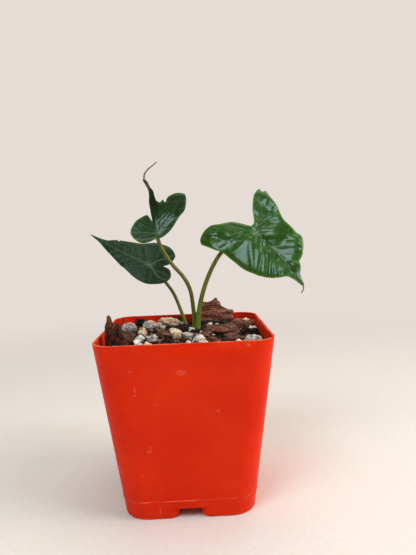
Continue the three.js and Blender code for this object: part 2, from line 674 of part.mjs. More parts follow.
function mixTerrain() {
  const width = 2 * POT.topHalf + 4;
  const depth = MIX.edgeTop + 20;
  const terrain = new THREE.BoxGeometry(width, width, depth, MIX.cells, MIX.cells, 1);
  const position = terrain.getAttribute('position');
  for (let i = 0; i < position.count; i++) {
    if (position.getZ(i) > 0) {
      position.setZ(i, mixTop(position.getX(i), position.getY(i)));
    }
  }
  return solid(terrain);
}

function mixCrumbs() {
  const draw = draws(5);
  return Array.from({ length: MIX.crumbs }, (_, i) => {
    const size = draw(...MIX.crumbSize);
    const reach = POT.topHalf - POT.wall - size;
    const x = draw(-reach, reach);
    const y = draw(-reach, reach);
    const crumb = grainGeometry({ seed: 200 + i, size: [size, size * draw(0.6, 1), size * 0.8], count: 9 });
    return crumb.rotateZ(draw(0, Math.PI)).translate(x, y, mixTop(x, y) - size * 0.1);
  });
}

function mixSolid(cuts) {
  let mix = potRoom(POT.floorTop + GAP, POT.height, GAP);
  for (const well of footWells(POT.wellBottom + GAP, POT.floorTop + 1, POT.wall + GAP)) {
    mix = mix.add(well);
  }
  mix = mix.intersect(mixTerrain());
  const room = potRoom(POT.floorTop + GAP, POT.height, GAP);
  for (const crumb of mixCrumbs()) {
    mix = mix.add(solid(crumb).intersect(room));
  }
  for (const cut of cuts) {
    mix = mix.subtract(cut);
  }
  return biggest(mix, COARSE);
}

// Assembly: the plant first, then what lies round it, each piece clear of those before it.

addPiece('pot', 'pot_plastic', potSolid());

const cormCut = joined(cormGeometries(GAP));
const cormSolid = joined(cormGeometries(0));
const petioleCuts = [];
for (const [name, leaf] of Object.entries(LEAVES)) {
  addPiece(`leaf_blade_${name}`, leaf.slot, bladeSolid(leaf));
  let petiole = solid(petioleGeometry(name, 0));
  petiole = petiole.subtract(solid(bladeGeometry(leaf, BLADE.thickness + 2 * GAP))).subtract(cormCut);
  for (const other of petioleCuts) {
    petiole = petiole.subtract(other);
  }
  addPiece(`petiole_${name}`, 'petiole_green', biggest(petiole));
  petioleCuts.push(solid(petioleGeometry(name, GAP)));
}
addPiece('corm_and_roots', 'corm_brown', biggest(cormSolid));

const inWall = potRoom(POT.floorTop, POT.height, GAP).add(potRoom(POT.height, POT.height * 1.3, GAP));
const cuts = [...petioleCuts, cormCut];
for (const [name, piece] of Object.entries(TOPPING)) {
  const geometry = toppingGeometry(piece);
  let body = solid(geometry).intersect(inWall);
  for (const cut of cuts) {
    body = body.subtract(cut);
  }
  addPiece(name, piece.slot, biggest(body));
  cuts.push(solid(grown(geometry, GAP)));
}
addPiece('potting_mix', 'potting_mix', mixSolid(cuts));

// The origin goes to the middle of the whole part, seen from above.
const middle = new THREE.Box3().setFromObject(root).getCenter(new THREE.Vector3());
root.position.set(-middle.x, -middle.y, 0);

export default root;
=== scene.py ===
# %% [markdown]
# # A potted alocasia
#
# A young alocasia with three arrow-shaped leaves stands in a square nursery pot of orange-red plastic. The
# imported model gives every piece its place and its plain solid. This script gives each piece its fine form and
# its finish. It works in metres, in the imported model's own frame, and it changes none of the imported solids.

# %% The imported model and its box
import math
import random

import bmesh
import bpy
import numpy as np
from mathutils import Matrix, Vector, noise


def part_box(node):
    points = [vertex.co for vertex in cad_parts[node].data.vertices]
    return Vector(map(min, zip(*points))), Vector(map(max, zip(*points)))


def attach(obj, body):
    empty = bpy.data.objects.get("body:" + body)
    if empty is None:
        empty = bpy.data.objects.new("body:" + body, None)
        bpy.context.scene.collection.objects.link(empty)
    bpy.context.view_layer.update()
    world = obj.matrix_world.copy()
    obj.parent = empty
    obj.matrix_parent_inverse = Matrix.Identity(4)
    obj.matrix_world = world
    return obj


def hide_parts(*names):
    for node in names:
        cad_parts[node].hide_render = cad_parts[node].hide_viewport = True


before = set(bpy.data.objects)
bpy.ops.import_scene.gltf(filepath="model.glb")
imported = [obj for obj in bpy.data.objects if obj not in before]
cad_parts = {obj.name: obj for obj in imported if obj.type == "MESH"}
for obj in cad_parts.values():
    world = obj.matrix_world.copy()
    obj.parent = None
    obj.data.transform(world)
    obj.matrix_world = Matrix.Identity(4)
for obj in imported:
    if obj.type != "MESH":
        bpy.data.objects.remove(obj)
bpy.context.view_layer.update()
print("packed nodes:", len(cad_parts))

# %% [markdown]
# ## Working in millimetres from the pot's axis
#
# The real pot is about 100 mm across, so its makers would draw it in millimetres from its own axis. Blender
# works in metres. Every shape below is drawn in the maker's millimetres and moved into the frame in one last
# step, which keeps the drawn numbers readable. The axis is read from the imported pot, and not typed in.

# %% From the maker's millimetres to the frame
MM = 0.001
pot_low, pot_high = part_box("pot")
AXIS_X = (pot_low.x + pot_high.x) / 2
AXIS_Y = (pot_low.y + pot_high.y) / 2
POT_HEIGHT = (pot_high.z - pot_low.z) / MM
TOP_HALF = (pot_high.x - pot_low.x) / 2 / MM
print("pot axis", round(AXIS_X / MM, 2), "height", round(POT_HEIGHT, 1), "half width", round(TOP_HALF, 1))


def to_frame(points):
    """Points in millimetres from the pot's axis and feet, as metres in the frame."""
    placed = np.asarray(points, float) * MM
    placed[..., 0] += AXIS_X
    placed[..., 1] += AXIS_Y
    return placed


def to_drawing(points):
    """The way back: metres in the frame, as millimetres from the pot's axis and feet."""
    drawn = np.array(points, float)
    drawn[..., 0] -= AXIS_X
    drawn[..., 1] -= AXIS_Y
    return drawn / MM


# %% [markdown]
# ## Colours and shader nodes
#
# Colours are picked as sRGB hex values, while a shader works on linear light, so one function turns
# them. Each material below is a small tree of nodes. One function adds a node with its settings and links, so
# that a material reads as a short recipe.

# %% Colours as linear light
def linear(code):
    """An sRGB hex colour as linear red, green, blue and full alpha."""
    channels = [int(code[i:i + 2], 16) / 255 for i in (1, 3, 5)]
    return [c / 12.92 if c <= 0.04045 else ((c + 0.055) / 1.055) ** 2.4 for c in channels] + [1.0]


# %% One function for every shader node
def node(tree, kind, inputs=None, ramp=None, **settings):
    """Adds a node. An input is a value or another node's output. A ramp is a list of (place, hex colour)."""
    made = tree.nodes.new("ShaderNode" + kind)
    for name, value in settings.items():
        setattr(made, name, value)
    for key, value in (inputs or {}).items():
        if isinstance(value, bpy.types.NodeSocket):
            tree.links.new(value, made.inputs[key])
        else:
            made.inputs[key].default_value = value
    for i, (place, code) in enumerate(ramp or []):
        stops = made.color_ramp.elements
        stop = stops[i] if i < 2 else stops.new(place)
        stop.position = place
        stop.color = linear(code)
    return made


FACTOR, FIRST, SECOND, MIXED = 0, 6, 7, 2  # the sockets that a Mix node uses for colours
COLOURS = {"data_type": "RGBA"}
SMOOTH = {"interpolation_type": "SMOOTHSTEP"}  # a Map Range node takes its input 0 from 1 and 2 to 3 and 4

# %% A new material and its shader
def new_material(name):
    """An empty material, and its tree."""
    made = bpy.data.materials.new(name)
    made.use_nodes = True
    made.node_tree.nodes.clear()
    return made, made.node_tree


def finish_material(made, colour, roughness, normal, gloss=0.5, ior=1.5):
    """Ends a material's tree in one shader. Gloss 0.5 and IOR 1.5 are the shader's own values."""
    inputs = {"Base Color": colour, "Roughness": roughness, "Normal": normal, "Specular IOR Level": gloss,
              "IOR": ior}
    shader = node(made.node_tree, "BsdfPrincipled", inputs)
    node(made.node_tree, "OutputMaterial", {"Surface": shader.outputs[0]})
    return made


def pattern(place, size, **more):
    """The inputs of a texture that repeats about every size millimetres of the real object."""
    return {"Vector": place, "Scale": 1 / (size * MM), **more}


# %% [markdown]
# ## Drawing tools
#
# Stalks, threads, the pot's shell and the bed of potting mix are all lofts: one closed ring that is extruded
# from station to station. A circle is created once for each, its points are moved to the first ring, and each
# extrusion is moved to the next. Smooth paths go through a few chosen points, as a plant's stalk does.

# %% A smooth curve through a few points
SAMPLES = 60  # steps between two given points before the curve is spaced evenly


def smooth_curve(points, count, evenness=0.5):
    """Evenly spaced points on a smooth curve through the given ones. Evenness 0.5 keeps it from looping."""
    given = np.array(points, float)
    given = np.vstack([2 * given[0] - given[1], given, 2 * given[-1] - given[-2]])
    gaps = np.linalg.norm(np.diff(given, axis=0), axis=1) ** evenness
    t = np.linspace(0, 1, SAMPLES, endpoint=False)[:, None]
    parts = []
    for i in range(len(points) - 1):
        p0, p1, p2, p3 = given[i:i + 4]
        g0, g1, g2 = gaps[i:i + 3]
        leave = ((p1 - p0) / g0 - (p2 - p0) / (g0 + g1) + (p2 - p1) / g1) * g1
        arrive = ((p2 - p1) / g1 - (p3 - p1) / (g1 + g2) + (p3 - p2) / g2) * g1
        cubic = 2 * p1 - 2 * p2 + leave + arrive
        square = -3 * p1 + 3 * p2 - 2 * leave - arrive
        parts.append(cubic * t ** 3 + square * t ** 2 + leave * t + p1)
    dense = np.vstack(parts + [given[-2:-1]])
    run = np.concatenate([[0], np.cumsum(np.linalg.norm(np.diff(dense, axis=0), axis=1))])
    even = np.linspace(0, run[-1], count)
    return np.stack([np.interp(even, run, dense[:, k]) for k in range(dense.shape[1])], axis=1)


def unit(vectors):
    """The same directions at length 1."""
    return vectors / np.linalg.norm(vectors, axis=-1, keepdims=True)


# %% A loft made by extruding a ring
def extruded(bm, ring):
    """Extrudes a closed ring of vertices, oldest edge first. The new ring is in the same order."""
    around = set(ring)
    bm.edges.index_update()
    edges = {e.index: e for v in ring for e in v.link_edges if e.other_vert(v) in around}
    made = bmesh.ops.extrude_edge_only(bm, edges=[edges[i] for i in sorted(edges)])["geom"]
    fresh = {part for part in made if isinstance(part, bmesh.types.BMVert)}
    return [next(e.other_vert(v) for e in v.link_edges if e.other_vert(v) in fresh) for v in ring]


def loft(rings, close_start=True):
    """A new skin over rings of equally many points. An end is closed with a fan round its middle."""
    bm = bmesh.new()
    ring = bmesh.ops.create_circle(bm, segments=len(rings[0]), radius=1)["verts"]
    ends = [ring] if close_start else []
    for number, points in enumerate(rings):
        if number:
            ring = extruded(bm, ring)
        for vertex, point in zip(ring, points):
            vertex.co = point
    for end in ends + [ring]:
        middle = sum((v.co for v in end), Vector()) / len(end)
        bmesh.ops.pointmerge(bm, verts=extruded(bm, end), merge_co=middle)
    return bm


def tube_rings(path, radii, sides):
    """Round rings along a path. They are carried from step to step without turning about it."""
    along = unit(np.gradient(path, axis=0))
    side = unit(np.cross(along[0], [0.3, 1.0, 0.2]))
    angles = np.linspace(0, 2 * math.pi, sides, endpoint=False)
    rings = []
    for centre, way, radius in zip(path, along, radii):
        side = unit(side - way * (side @ way))
        other = np.cross(way, side)
        rings.append(centre + radius * (np.outer(np.cos(angles), side) + np.outer(np.sin(angles), other)))
    return rings


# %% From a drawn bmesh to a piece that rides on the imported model
def object_from(name, bm):
    """Makes a bmesh an object of the scene, with its faces turned outwards."""
    bmesh.ops.recalc_face_normals(bm, faces=bm.faces[:])
    made = bpy.data.objects.new(name, bpy.data.meshes.new(name))
    bm.to_mesh(made.data)
    bm.free()
    bpy.context.scene.collection.objects.link(made)
    return made


def piece_from(name, bm, materials, replaced=(), drawn=True):
    """Makes a piece of a shape, and moves it into the frame if it is drawn in millimetres."""
    piece = object_from(name, bm)
    if drawn:
        set_points(piece.data, to_frame(per_point(piece.data, "co")))
    for made in materials:
        piece.data.materials.append(made)
    piece.data.shade_smooth()
    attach(piece, "root")
    if replaced:
        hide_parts(*replaced)
    return piece


def add_shape(bm, part):
    """Adds a drawn shape to a larger one."""
    scrap = bpy.data.meshes.new("scrap")
    part.to_mesh(scrap)
    part.free()
    bm.from_mesh(scrap)
    bpy.data.meshes.remove(scrap)


def per_point(mesh, what):
    """The place ("co") or the normal ("normal") of each point of a mesh, one row each."""
    flat = np.empty(len(mesh.vertices) * 3)
    mesh.vertices.foreach_get(what, flat)
    return flat.reshape(-1, 3)


def set_points(mesh, points):
    """Moves all the points of a mesh."""
    mesh.vertices.foreach_set("co", np.asarray(points, float).ravel())
    mesh.update()


def carry(mesh, name, values):
    """Gives each point a number or a vector that a material can read."""
    kind, field = ("FLOAT", "value") if values.ndim == 1 else ("FLOAT_VECTOR", "vector")
    mesh.attributes.new(name, kind, "POINT").data.foreach_set(field, values.ravel())


def apply_modifiers(piece):
    """Makes what the modifiers show the piece's own mesh."""
    shown = piece.evaluated_get(bpy.context.evaluated_depsgraph_get())
    mesh = bpy.data.meshes.new_from_object(shown)
    piece.modifiers.clear()
    piece.data = mesh
    return mesh


def report(piece):
    """Prints a piece's name and how many triangles it has."""
    faces = piece.evaluated_get(bpy.context.evaluated_depsgraph_get()).data.polygons
    print(piece.name, sum(len(face.vertices) - 2 for face in faces), "triangles")


# %% [markdown]
# ## Moulded polypropylene
#
# The pot is injection-moulded polypropylene, coloured right through. Its skin is satin, with faint lines
# where it was drawn off the mould. The parting line is thin flash, paler and broken, and the rim's top edge
# carries a painted highlight. Handling leaves small pale scuffs. A flat red would look like paint, so the
# colour drifts slowly, the lines are a bump, and the scuffs lie at named places on the front wall.

# %% The pot's plastic
SEAM = 11.0  # height of the parting line above the feet, mm
SCUFFS = [  # place of the middle and half size, mm from the axis and the feet
    ((-28.5, -48.3, 88.6), (1.6, 2.0, 0.35)),
    ((-28.3, -48.4, 89.9), (1.0, 2.0, 0.2)),
    ((-27.0, -47.0, 78.5), (0.7, 2.0, 1.6)),
    ((-27.1, -46.7, 75.4), (1.0, 2.0, 0.9)),
    ((-15.6, -46.1, 69.0), (1.5, 2.0, 0.4)),
    ((-16.6, -46.1, 70.0), (0.4, 2.0, 0.8)),
    ((-21.6, -43.0, 42.0), (1.3, 2.0, 0.8)),
    ((-20.4, -43.0, 44.0), (0.4, 2.0, 1.6)),
    ((-26.2, -41.3, 27.9), (1.2, 2.0, 0.5)),
    ((17.1, -45.5, 64.3), (1.4, 2.0, 0.8)),
    ((-2.0, -47.6, 87.0), (3.4, 2.0, 1.8)),
    ((34.0, -49.9, 100.6), (1.5, 2.0, 1.1)),
    ((-17.0, -38.0, 5.0), (0.5, 3.0, 2.6)),
    ((-33.2, -38.0, 45.0), (0.3, 6.0, 2.2)),
]


def moulded_polypropylene():
    made, tree = new_material("moulded_polypropylene")
    place = node(tree, "TexCoord").outputs["Object"]
    height = node(tree, "SeparateXYZ", {0: place}).outputs[2]
    # The melt drifts in colour over about 40 mm and in faint patches of 6 mm. The parting line and the painted
    # rim highlight break off every 9 mm, scuffs are ragged at 1.2 mm, and the skin has a grain of 0.5 mm.
    drift, patches, broken, ragged, grain = (
        node(tree, "TexNoise", pattern(place, size, Detail=detail)).outputs[0]
        for size, detail in ((40, 3.0), (6, 5.0), (9, 4.0), (1.2, 4.0), (0.5, 3.0)))
    colour = node(tree, "ValToRGB", {0: drift}, ramp=[(0.3, "#d82303"), (0.7, "#e42e04")]).outputs[0]
    colour = node(tree, "Mix",
                  {FACTOR: node(tree, "MapRange", {0: patches, 1: 0.5, 2: 0.75, 3: 0, 4: 0.1},
                                **SMOOTH).outputs[0], FIRST: colour, SECOND: linear("#e8502c")},
                  **COLOURS).outputs[MIXED]
    # A painted highlight lies along the rim's top edge. The parting line is thin flash, paler and broken.
    rim_highlight = node(tree, "MapRange", {0: height, 1: (POT_HEIGHT - 0.4) * MM, 2: (POT_HEIGHT - 0.05) * MM},
               **SMOOTH).outputs[0]
    rim_highlight = node(tree, "Math",
               {0: rim_highlight,
                1: node(tree, "MapRange", {0: broken, 1: 0.4, 2: 0.65, 3: 0.1, 4: 0.7},
                        **SMOOTH).outputs[0]}, operation="MULTIPLY").outputs[0]
    colour = node(tree, "Mix", {FACTOR: rim_highlight, FIRST: colour, SECOND: linear("#ee7a55")},
                  **COLOURS).outputs[MIXED]
    off_seam = node(tree, "Math",
                    {0: node(tree, "Math", {0: height, 1: SEAM * MM}, operation="SUBTRACT").outputs[0],
                     1: 0.0}, operation="ABSOLUTE").outputs[0]
    seam = node(tree, "MapRange", {0: off_seam, 1: 0.15 * MM, 2: 0.5 * MM, 3: 1.0, 4: 0.0},
                **SMOOTH).outputs[0]
    seam = node(tree, "Math",
                {0: seam,
                 1: node(tree, "MapRange", {0: broken, 1: 0.42, 2: 0.62, 3: 0.1, 4: 0.85},
                         **SMOOTH).outputs[0]}, operation="MULTIPLY").outputs[0]
    colour = node(tree, "Mix", {FACTOR: seam, FIRST: colour, SECOND: linear("#f0673f")},
                  **COLOURS).outputs[MIXED]
    # Scuffs are soft-edged patches of pale scratches.
    scuffed = 0.0
    for middle, half in SCUFFS:
        away = node(tree, "VectorMath", {0: place, 1: to_frame(middle)}, operation="SUBTRACT").outputs[0]
        scaled = node(tree, "VectorMath", {0: away, 1: np.array(half) * MM}, operation="DIVIDE").outputs[0]
        reach = node(tree, "VectorMath", {0: scaled}, operation="LENGTH").outputs["Value"]
        scuffed = node(tree, "Math",
                       {0: scuffed,
                        1: node(tree, "MapRange", {0: reach, 1: 0.4, 2: 1.3, 3: 0.36, 4: 0.0},
                                **SMOOTH).outputs[0]}, operation="MAXIMUM").outputs[0]
    scuffed = node(tree, "Math",
                   {0: scuffed,
                    1: node(tree, "MapRange", {0: ragged, 1: 0.4, 2: 0.62, 3: 0.15, 4: 1.0},
                            **SMOOTH).outputs[0]}, operation="MULTIPLY").outputs[0]
    colour = node(tree, "Mix", {FACTOR: scuffed, FIRST: colour, SECOND: linear("#d98b78")},
                  **COLOURS).outputs[MIXED]
    # Lines from the mould run round the wall every 1.4 mm, very shallow and uneven.
    waves = pattern(place, 1.4 * 2 * math.pi, Distortion=3.0, Detail=2.0)
    lines = node(tree, "TexWave", waves | {"Detail Scale": 1.5}, bands_direction="Z")
    relief = node(tree, "Math",
                  {0: node(tree, "Math", {0: lines.outputs[1], 1: 0.35}, operation="MULTIPLY").outputs[0],
                   1: grain}, operation="ADD").outputs[0]
    bump = node(tree, "Bump", {"Height": relief, "Distance": 0.03 * MM, "Strength": 0.6})
    rough = node(tree, "MapRange", {0: patches, 1: 0.3, 2: 0.75, 3: 0.38, 4: 0.52}, **SMOOTH).outputs[0]
    return finish_material(made, colour, rough, bump.outputs[0], gloss=0.1, ior=1.45)


# %% [markdown]
# ## The pot
#
# The real pot is one thin shell that tapers to four feet. A cross-shaped channel runs under the floor, the
# feet are hollow, and five holes drain the floor. It could be one lathe shape if it were round. As it is
# square with rounded corners, the outside and the inside are two lofts, and the channel, the feet's hollows
# and the holes are cut from them with exact booleans, which is how the mould's two halves meet the plastic.

# %% Sizes of the pot, mm
BASE_HALF, BASE_CORNER, TOP_CORNER = 38.0, 14.0, 12.0
WALL, FOOT_ROUND, FLOOR_TOP, FOOT_HEIGHT, WELL_BOTTOM = 1.3, 1.2, 7.7, 6.2, 1.5
CHANNEL_HALF, CHANNEL_CORNER, CHANNEL_MOUTH = 6.2, 5.5, 4.5
CENTRE_HOLE, SIDE_HOLE, SIDE_HOLE_OUT = 5.0, 4.0, 20.0
FOOT_LIP = 2.5  # rounding of the feet's lower edges along the channel
CORNER_STEPS = 20


def rounded_box(low, high, radii, z, steps=CORNER_STEPS):
    """A ring round a box, with a radius for each of its corners (+,+), (-,+), (-,-) and (+,-)."""
    points = []
    for quadrant, radius in enumerate(radii):
        cx = high[0] - radius if quadrant in (0, 3) else low[0] + radius
        cy = high[1] - radius if quadrant < 2 else low[1] + radius
        for k in range(steps + 1):
            angle = (quadrant + k / steps) * math.pi / 2
            points.append((cx + radius * math.cos(angle), cy + radius * math.sin(angle), z))
    return np.array(points)


def wall_ring(z, inset=0.0):
    """The wall's outline at a height, set in by a distance."""
    half = BASE_HALF + (TOP_HALF - BASE_HALF) * z / POT_HEIGHT - inset
    corner = BASE_CORNER + (TOP_CORNER - BASE_CORNER) * z / POT_HEIGHT - inset
    return rounded_box((-half, -half), (half, half), [corner] * 4, z)


# %% The outside of the pot, with its parting line
def seam_ring(z, proud):
    """The parting line stands out by a varying amount, most at the front left corner."""
    ring = wall_ring(z)
    for point in ring:
        turn = math.atan2(point[1], point[0])
        uneven = 0.75 + 0.45 * noise.noise(Vector((point[0], point[1], 0)) * 0.11)
        nearest_corner = math.exp(-((turn + 2.2) / 0.5) ** 2)
        point[:2] *= 1 + proud * (uneven + 0.3 * nearest_corner) / TOP_HALF
    return ring


def quarter_round(radius, steps):
    """Heights up a rounded lower edge, and how far it is set in there."""
    turns = np.linspace(0, math.pi / 2, steps)
    return [(radius * (1 - math.cos(a)), radius * (1 - math.sin(a))) for a in turns]


def pot_outside():
    rings = [wall_ring(z, inset) for z, inset in quarter_round(FOOT_ROUND, 6)]
    rings += [seam_ring(SEAM + up, proud) for up, proud in ((-0.5, 0), (-0.18, 0.3), (0.08, 0.32), (0.3, 0))]
    rings += [wall_ring(z) for z in np.linspace(SEAM + 4, POT_HEIGHT, 12)]
    return loft(rings)


# %% What is cut away: the room inside, the hollows of the feet, the channel and the holes
def pot_room():
    return loft([wall_ring(FLOOR_TOP, WALL), wall_ring(POT_HEIGHT * 1.02, WALL)])


def foot_ring(z, inset):
    """The outline of one foot's hollow, in the corner (+,+)."""
    near = CHANNEL_HALF + inset
    far = BASE_HALF + (TOP_HALF - BASE_HALF) * z / POT_HEIGHT - inset
    inner, outer = CHANNEL_CORNER - inset, BASE_CORNER - inset
    return rounded_box((near, near), (far, far), [outer, inner, inner, inner], z, steps=8)


def foot_hollow(quarter, gap=0.0):
    """The hollow of one foot, or what fills it with a gap all round."""
    bm = loft([foot_ring(WELL_BOTTOM + gap, WALL + gap), foot_ring(FLOOR_TOP + 1, WALL + gap)])
    bmesh.ops.rotate(bm, verts=bm.verts[:], matrix=Matrix.Rotation(quarter * math.pi / 2, 3, "Z"))
    return bm


def channel():
    """The cross under the floor. Its arms widen at the mouths, and the feet's inner corners are round."""
    reach = BASE_HALF + 2 * CHANNEL_MOUTH
    flare = BASE_HALF + 0.35 - CHANNEL_MOUTH
    outline = []
    for quarter in range(4):
        arm = [(reach, CHANNEL_HALF + CHANNEL_MOUTH)]
        for start, centre, radius in ((0, (flare, CHANNEL_HALF + CHANNEL_MOUTH), CHANNEL_MOUTH),
                                      (-1, (CHANNEL_HALF + CHANNEL_CORNER,) * 2, CHANNEL_CORNER),
                                      (-2, (CHANNEL_HALF + CHANNEL_MOUTH, flare), CHANNEL_MOUTH)):
            for k in range(9):
                angle = (start - k / 8) * math.pi / 2
                arm.append((centre[0] + radius * math.cos(angle), centre[1] + radius * math.sin(angle)))
        arm.append((CHANNEL_HALF + CHANNEL_MOUTH, reach))
        c, s = math.cos(quarter * math.pi / 2), math.sin(quarter * math.pi / 2)
        outline += [(x * c - y * s, x * s + y * c) for x, y in arm]
    outline = np.array(outline)
    way = unit(np.roll(outline, -1, axis=0) - np.roll(outline, 1, axis=0))
    outwards = np.column_stack([way[:, 1], -way[:, 0]])
    levels = [(-FOOT_HEIGHT, FOOT_LIP)] + quarter_round(FOOT_LIP, 7) + [(FOOT_HEIGHT, 0)]
    return loft([np.column_stack([outline + outwards * wider, np.full(len(outline), z)])
                 for z, wider in levels])


def drain_hole(x, y, radius):
    bm = bmesh.new()
    made = bmesh.ops.create_cone(bm, cap_ends=True, segments=40, radius1=radius, radius2=radius,
                                 depth=2 * FLOOR_TOP)
    bmesh.ops.translate(bm, verts=made["verts"], vec=(x, y, FLOOR_TOP))
    return bm


def rim_nick(x, width, depth):
    """A small bite out of the front rim."""
    bm = bmesh.new()
    made = bmesh.ops.create_icosphere(bm, subdivisions=2, radius=1)
    bmesh.ops.scale(bm, vec=(width, 2, depth), verts=made["verts"])
    bmesh.ops.translate(bm, verts=made["verts"], vec=(x, -TOP_HALF + WALL / 2, POT_HEIGHT + depth * 0.45))
    return bm


# %% Cutting the pot
cutters = [pot_room(), channel()] + [foot_hollow(quarter) for quarter in range(4)]
cutters += [drain_hole(0, 0, CENTRE_HOLE)]
cutters += [drain_hole(SIDE_HOLE_OUT * math.cos(a), SIDE_HOLE_OUT * math.sin(a), SIDE_HOLE)
            for a in np.arange(4) * math.pi / 2]
cutters += [rim_nick(-37.2, 1.6, 0.5), rim_nick(-7, 1.0, 0.45), rim_nick(-4.3, 1.3, 0.35)]
blank = object_from("pot_blank", pot_outside())
tools = [object_from("cutter", bm) for bm in cutters]
for tool in tools:
    cut = blank.modifiers.new("cut", "BOOLEAN")
    cut.operation = "DIFFERENCE"
    cut.solver = "EXACT"
    cut.object = tool
apply_modifiers(blank)
print("pot after", len(tools), "cuts:", len(blank.data.polygons), "faces")

# %% The pot's softened edges
EDGE = 0.28  # rounding of the moulded edges, mm
bm = bmesh.new()
bm.from_mesh(blank.data)
for tool in tools + [blank]:
    bpy.data.objects.remove(tool)
bmesh.ops.remove_doubles(bm, verts=bm.verts[:], dist=0.005)
sharp = [e for e in bm.edges if len(e.link_faces) == 2 and e.calc_face_angle(0) > math.radians(38)]
bmesh.ops.bevel(bm, geom=sharp, offset=EDGE, offset_type="OFFSET", segments=3, profile=0.5,
                affect="EDGES", clamp_overlap=True, material=-1)
pot = piece_from("pot_shell", bm, [moulded_polypropylene()], ["pot"])
even = pot.modifiers.new("even_normals", "WEIGHTED_NORMAL")
even.keep_sharp = False
report(pot)

# %% [markdown]
# ## Leaf skin
#
# An alocasia's blade is dark green with a waxy upper face. Its veins are sunk and paler, most of all near the
# stalk, a fine net joins them, and the margin is a thin line of yellow-green. The underside is paler and
# duller. The blade carries three values on its points: where each lies on the flat blade, how near the veins
# are, and how far it is from the margin. The material reads these, so its pattern follows the veins however
# the blade is bent. The shapes of the highlights are left to the blade's relief, as on the real leaf.

# %% The blade's upper and lower skin
def leaf_skin(name, dark, light, vein, midrib, edge, rough, gloss, show, dusty=0.0):
    made, tree = new_material(name)
    flat = node(tree, "Attribute", attribute_name="flat").outputs["Vector"]
    veins = node(tree, "Attribute", attribute_name="vein").outputs["Fac"]
    margin = node(tree, "Attribute", attribute_name="margin").outputs["Fac"]
    # Tissue between the veins varies over about 9 mm. The net's cells are about 1.6 mm.
    broad = node(tree, "TexNoise", {"Vector": flat, "Scale": 1 / 9, "Detail": 4.0, "Roughness": 0.6})
    colour = node(tree, "ValToRGB", {0: broad.outputs[0]}, ramp=[(0.32, dark), (0.68, light)]).outputs[0]
    wobble = node(tree, "TexNoise", {"Vector": flat, "Scale": 1 / 2.2, "Detail": 2.0})
    bent = node(tree, "VectorMath", {0: flat, 1: wobble.outputs["Color"]}, operation="ADD").outputs[0]
    cells = node(tree, "TexVoronoi", {"Vector": bent, "Scale": 1 / 1.6}, feature="DISTANCE_TO_EDGE")
    net = node(tree, "MapRange", {0: cells.outputs["Distance"], 1: 0.02, 2: 0.16, 3: 1.0, 4: 0.0},
               **SMOOTH).outputs[0]
    colour = node(tree, "Mix",
                  {FACTOR: node(tree, "Math", {0: net, 1: 0.25 * show}, operation="MULTIPLY").outputs[0],
                   FIRST: colour, SECOND: linear(vein)}, **COLOURS).outputs[MIXED]
    # Veins and tissue are palest around the stalk's joint, and the midrib has its own colour.
    joint = node(tree, "VectorMath", {0: flat}, operation="LENGTH").outputs["Value"]
    shown = node(tree, "Math",
                 {0: node(tree, "MapRange", {0: veins, 1: 0.15, 2: 0.95, 3: 0.0, 4: show},
                          **SMOOTH).outputs[0],
                  1: node(tree, "MapRange", {0: joint, 1: 8, 2: 26, 3: 1.0, 4: 0.35},
                          **SMOOTH).outputs[0]}, operation="MULTIPLY").outputs[0]
    colour = node(tree, "Mix", {FACTOR: shown, FIRST: colour, SECOND: linear(vein)},
                  **COLOURS).outputs[MIXED]
    colour = node(tree, "Mix",
                  {FACTOR: node(tree, "MapRange", {0: joint, 1: 0.5, 2: 4.2, 3: 0.28, 4: 0.0},
                                **SMOOTH).outputs[0], FIRST: colour, SECOND: linear(vein)},
                  **COLOURS).outputs[MIXED]
    along, across = (node(tree, "SeparateXYZ", {0: flat}).outputs[k] for k in (0, 1))
    off_rib = node(tree, "Math", {0: across, 1: 0.0}, operation="ABSOLUTE").outputs[0]
    rib = node(tree, "MapRange", {0: off_rib, 1: 0.25, 2: 0.8, 3: 0.8, 4: 0.0}, **SMOOTH).outputs[0]
    rib = node(tree, "Math",
               {0: rib, 1: node(tree, "MapRange", {0: along, 1: 0.5, 2: 3.0}, **SMOOTH).outputs[0]},
               operation="MULTIPLY").outputs[0]
    colour = node(tree, "Mix", {FACTOR: rib, FIRST: colour, SECOND: linear(midrib)},
                  **COLOURS).outputs[MIXED]
    colour = node(tree, "Mix",
                  {FACTOR: node(tree, "MapRange", {0: margin, 1: 0.2, 2: 1.6, 3: 0.7, 4: 0.0},
                                **SMOOTH).outputs[0], FIRST: colour, SECOND: linear(edge)},
                  **COLOURS).outputs[MIXED]
    if dusty:
        # Dust and fine scratches lie on the waxy face in specks of about 0.6 mm.
        specks = node(tree, "TexNoise", {"Vector": flat, "Scale": 1 / 0.6, "Detail": 3.0})
        colour = node(tree, "Mix",
                      {FACTOR: node(tree, "MapRange",
                                    {0: specks.outputs[0], 1: 0.58, 2: 0.72, 3: 0.0, 4: dusty},
                                    **SMOOTH).outputs[0], FIRST: colour, SECOND: linear("#9aa79a")},
                      **COLOURS).outputs[MIXED]
    fine = node(tree, "TexNoise", {"Vector": flat, "Scale": 1 / 0.35, "Detail": 2.0}).outputs[0]
    relief = node(tree, "Math",
                  {0: node(tree, "Math", {0: fine, 1: 0.25}, operation="MULTIPLY").outputs[0], 1: net},
                  operation="SUBTRACT").outputs[0]
    bump = node(tree, "Bump", {"Height": relief, "Distance": 0.016 * MM, "Strength": 0.8})
    shine = node(tree, "MapRange", {0: broad.outputs[0], 1: 0.3, 2: 0.7, 3: rough * 0.9, 4: rough * 1.15},
                 **SMOOTH).outputs[0]
    return finish_material(made, colour, shine, bump.outputs[0], gloss, ior=1.45)


